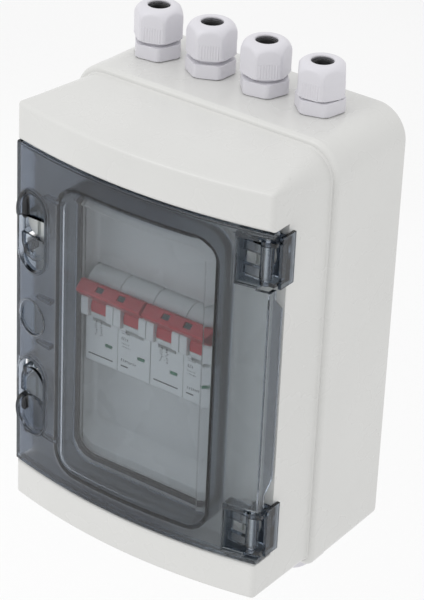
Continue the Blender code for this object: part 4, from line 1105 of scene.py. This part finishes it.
def build_print(name, centre):
    """Rating lines, a wiring sign and rows of unreadable fine print on the breaker's nose."""
    draw = random.Random(7 if name.endswith("1") else 11)
    left, right = centre - MODULE / 2, centre + MODULE / 2
    marks = [strip(left - 7.0, left + 6.4, -16.6, -16.0), strip(right - 7.0, right - 3.2, -16.6, -16.0)]
    for column in (-3.4, -0.6):
        for row in range(7):
            z = 1.0 - row * 1.05
            x = left + column + draw.uniform(-0.4, 0.4)
            marks.append(strip(x, x + draw.uniform(0.5, 1.3), z - 0.22, z))
            x = left + column + draw.uniform(-0.6, 0.9)
            marks.append(strip(x, x + 0.24, z - draw.uniform(0.6, 0.9), z - 0.3))
    rows = ((1.5, 3.0, 0.5), (0.5, 4.4, 0.5), (-1.6, 3.2, 1.5))
    rows += ((-4.6, 4.0, 0.6), (-6.2, 4.6, 0.6), (-12.6, 8.4, 1.5))
    for z, reach, tall in rows:
        x = right - 7.0 + draw.uniform(0.0, 0.6)
        end = x + reach
        while x < end:
            width = draw.uniform(0.35, 0.6) * (1.0 if tall < 1.0 else 1.5)
            drop = draw.uniform(0.0, 0.35) * tall
            marks.append(strip(x, x + width * 0.4, z - tall, z - drop, 0.04))
            if draw.random() < 0.6:
                level = z - tall * draw.choice((0.15, 0.5, 1.0))
                marks.append(strip(x + width * 0.4 + 0.02, x + width, level, level + 0.2, 0.04))
            x += width + draw.uniform(0.25, 0.4)
    show(join(marks), name + "_print", "black_plastic", "enclosure")
    for pole, hand in poles(centre):
        oval = flat_oval(pole + INDICATOR_X, INDICATOR_Z, INDICATOR_HALF_W, INDICATOR_HALF_H)
        lens = prism_y(oval, NOSE_Y - 0.1, NOSE_Y + 0.55)
        show(lens, f"{name}_indicator_{hand}", "indicator_green", "enclosure", bevel=0.12)


def flat_oval(x, z, half_w, half_h):
    return [(x + a, z + b) for a, b in rounded(half_w, half_h, half_h - 0.01, 8)]


def join(objects):
    """One object from several that don't touch."""
    mesh = bpy.data.meshes.new("joined")
    shape = bmesh.new()
    for obj in objects:
        shape.from_mesh(obj.data)
        bpy.data.objects.remove(obj, do_unlink=True)
    shape.to_mesh(mesh)
    shape.free()
    return put("joined", mesh)


# --- Cable glands ---


def hex_radius(turn, flats, corner):
    """Radius at an angle of a hexagon with rounded corners."""
    off = (turn + pi / 6) % (pi / 3) - pi / 6
    flat = flats / 2 / cos(pi / 6 - abs(off))
    return min(flat, corner)


def ribbing(turn):
    """How far the ribs on every other flat stand out at an angle."""
    ribs_per_flat, depth = 9, 0.28
    share = (turn / (pi / 3)) % 2
    if not 0.14 < share < 0.86:
        return 0.0
    return depth * (0.5 + 0.5 * cos((share - 0.5) * 2 * pi * ribs_per_flat))


def gland_rings(profile, phase, sign, x, y, z0, steps, ribs=None):
    rings = []
    for radius, height, flats in profile:
        ring = []
        for k in range(steps):
            a = 2 * pi * k / steps
            r = radius
            if flats:
                r = min(radius, hex_radius(a, flats, flats / sqrt(3) - 0.35))
                if ribs and ribs[0] <= height <= ribs[1]:
                    r = min(r - 0.1 + ribbing(a), flats / sqrt(3) - 0.05)
            b = a + radians(phase)
            ring.append((x + r * cos(b), y + r * sin(b), z0 + sign * height))
        rings.append(ring)
    return rings


def nut_profile():
    """(radius, height, across flats) up the dome nut and back down its inside."""
    corner, flats = GLAND_CORNER_R, GLAND_AF
    profile = [(8.0, 0.0, 0), (corner - 0.9, 0.0, flats), (corner, 0.35, flats)]
    profile += [(corner, h, flats) for h in (0.8, 0.85, 3.0, 5.5, 7.1, 7.15)]
    shoulder, top, tip = 7.4, 15.0, 6.2
    for k in range(13):
        a = pi / 2 * k / 12
        radius = tip + (corner - tip) * cos(a) ** 0.85
        profile.append((radius, shoulder + (top - shoulder) * sin(a) ** 0.95, flats - 0.5 * k / 12))
    profile += [(5.8, 15.0, 0), (5.3, 14.85, 0), (5.0, 14.5, 0), (5.0, 13.8, 0), (8.0, 11.2, 0)]
    return profile


def build_gland(name, sign, turn, nut_turn):
    body, nut, seal = name + "_body", name + "_nut", name + "_seal"
    x, y = middle(body, 0), middle(body, 1)
    seat = sign * (BOX_H / 2 * draft(y) + GAP)
    corner = GLAND_CORNER_R
    profile = [
        (BORE_R, -12.0, 0), (THREAD_R - 0.4, -12.0, 0), (THREAD_R, -11.6, 0), (THREAD_R, 0.0, 0),
        (corner - 0.7, 0.0, GLAND_AF), (corner, 0.3, GLAND_AF), (corner, 5.7, GLAND_AF),
        (corner - 0.5, 6.15, GLAND_AF), (corner - 1.6, 6.4, GLAND_AF), (NECK_R, 6.4, 0), (NECK_R, 18.0, 0),
        (SOCKET_R, 18.0, 0), (SOCKET_R, 9.0, 0), (BORE_R, 9.0, 0),
    ]
    rings = gland_rings(profile, turn, sign, x, y, seat, 96)
    show(loft(rings, looped=True), body + "_visual", "nylon_white", "enclosure", [body], angle=40.0)
    *_, nut_low, nut_high = extent(nut)
    nut_seat = nut_low if sign > 0 else nut_high
    rings = gland_rings(nut_profile(), nut_turn, sign, x, y, nut_seat, 216, (0.84, 7.12))
    show(loft(rings, looped=True), nut + "_visual", "nylon_white", "enclosure", [nut], angle=55.0)
    *_, low, high = extent(seal)
    tall = high - low
    profile = [(3.3, 0.0, 0), (SEAL_R, 0.0, 0), (SEAL_R, 8.3, 0)]
    profile += [(4.6, tall - 0.15, 0), (4.3, tall, 0), (3.7, tall, 0), (3.3, tall - 0.6, 0)]
    rings = gland_rings(profile, 0.0, sign, x, y, low if sign > 0 else high, 56)
    show(loft(rings, looped=True), seal + "_visual", "black_rubber", "enclosure", [seal], angle=40.0)


# --- CAD nodes that are shown as they are ---


def dress(node, paint):
    """Gives a CAD node that stays visible its material and soft edges."""
    obj = frame["nodes"][node]
    obj.data.materials.clear()
    obj.data.materials.append(paint)
    weld = obj.modifiers.new("weld", "WELD")
    weld.merge_threshold = 0.002 * MM
    soften(obj, 0.15, 40.0, clamp=True)


def slots_of_nodes():
    return {part["node"]: part["material_slot"] for part in frame["record"]["subparts"]}


def make_paints():
    """The materials by look."""
    made = {name: moulded(name, *look) for name, look in PLASTICS.items()}
    made["door_smoke"] = smoked_plastic("smoked_polycarbonate", True)
    made["smoked_polycarbonate"] = smoked_plastic("smoked_polycarbonate_small", False)
    made["black_rubber"] = rubber("black_rubber")
    made["zinc_steel"] = plated("zinc_steel", (0.62, 0.63, 0.65), 0.32)
    made["tinned_copper"] = plated("tinned_copper", (0.72, 0.45, 0.30), 0.35)
    return made


def main():
    build_base()
    build_cover()
    build_cover_gasket()
    build_cover_screws()
    build_door()
    build_latches()
    build_lock_plug()
    build_latch_slit_shadows()
    build_hinges()
    for number in (1, 2):
        build_breaker(number)
    for gland in GLANDS:
        build_gland(*gland)
    for node, slot in slots_of_nodes().items():
        if not frame["nodes"][node].hide_render:
            dress(node, paints[slot])


add_camera()
add_studio()
paints = make_paints()
main()
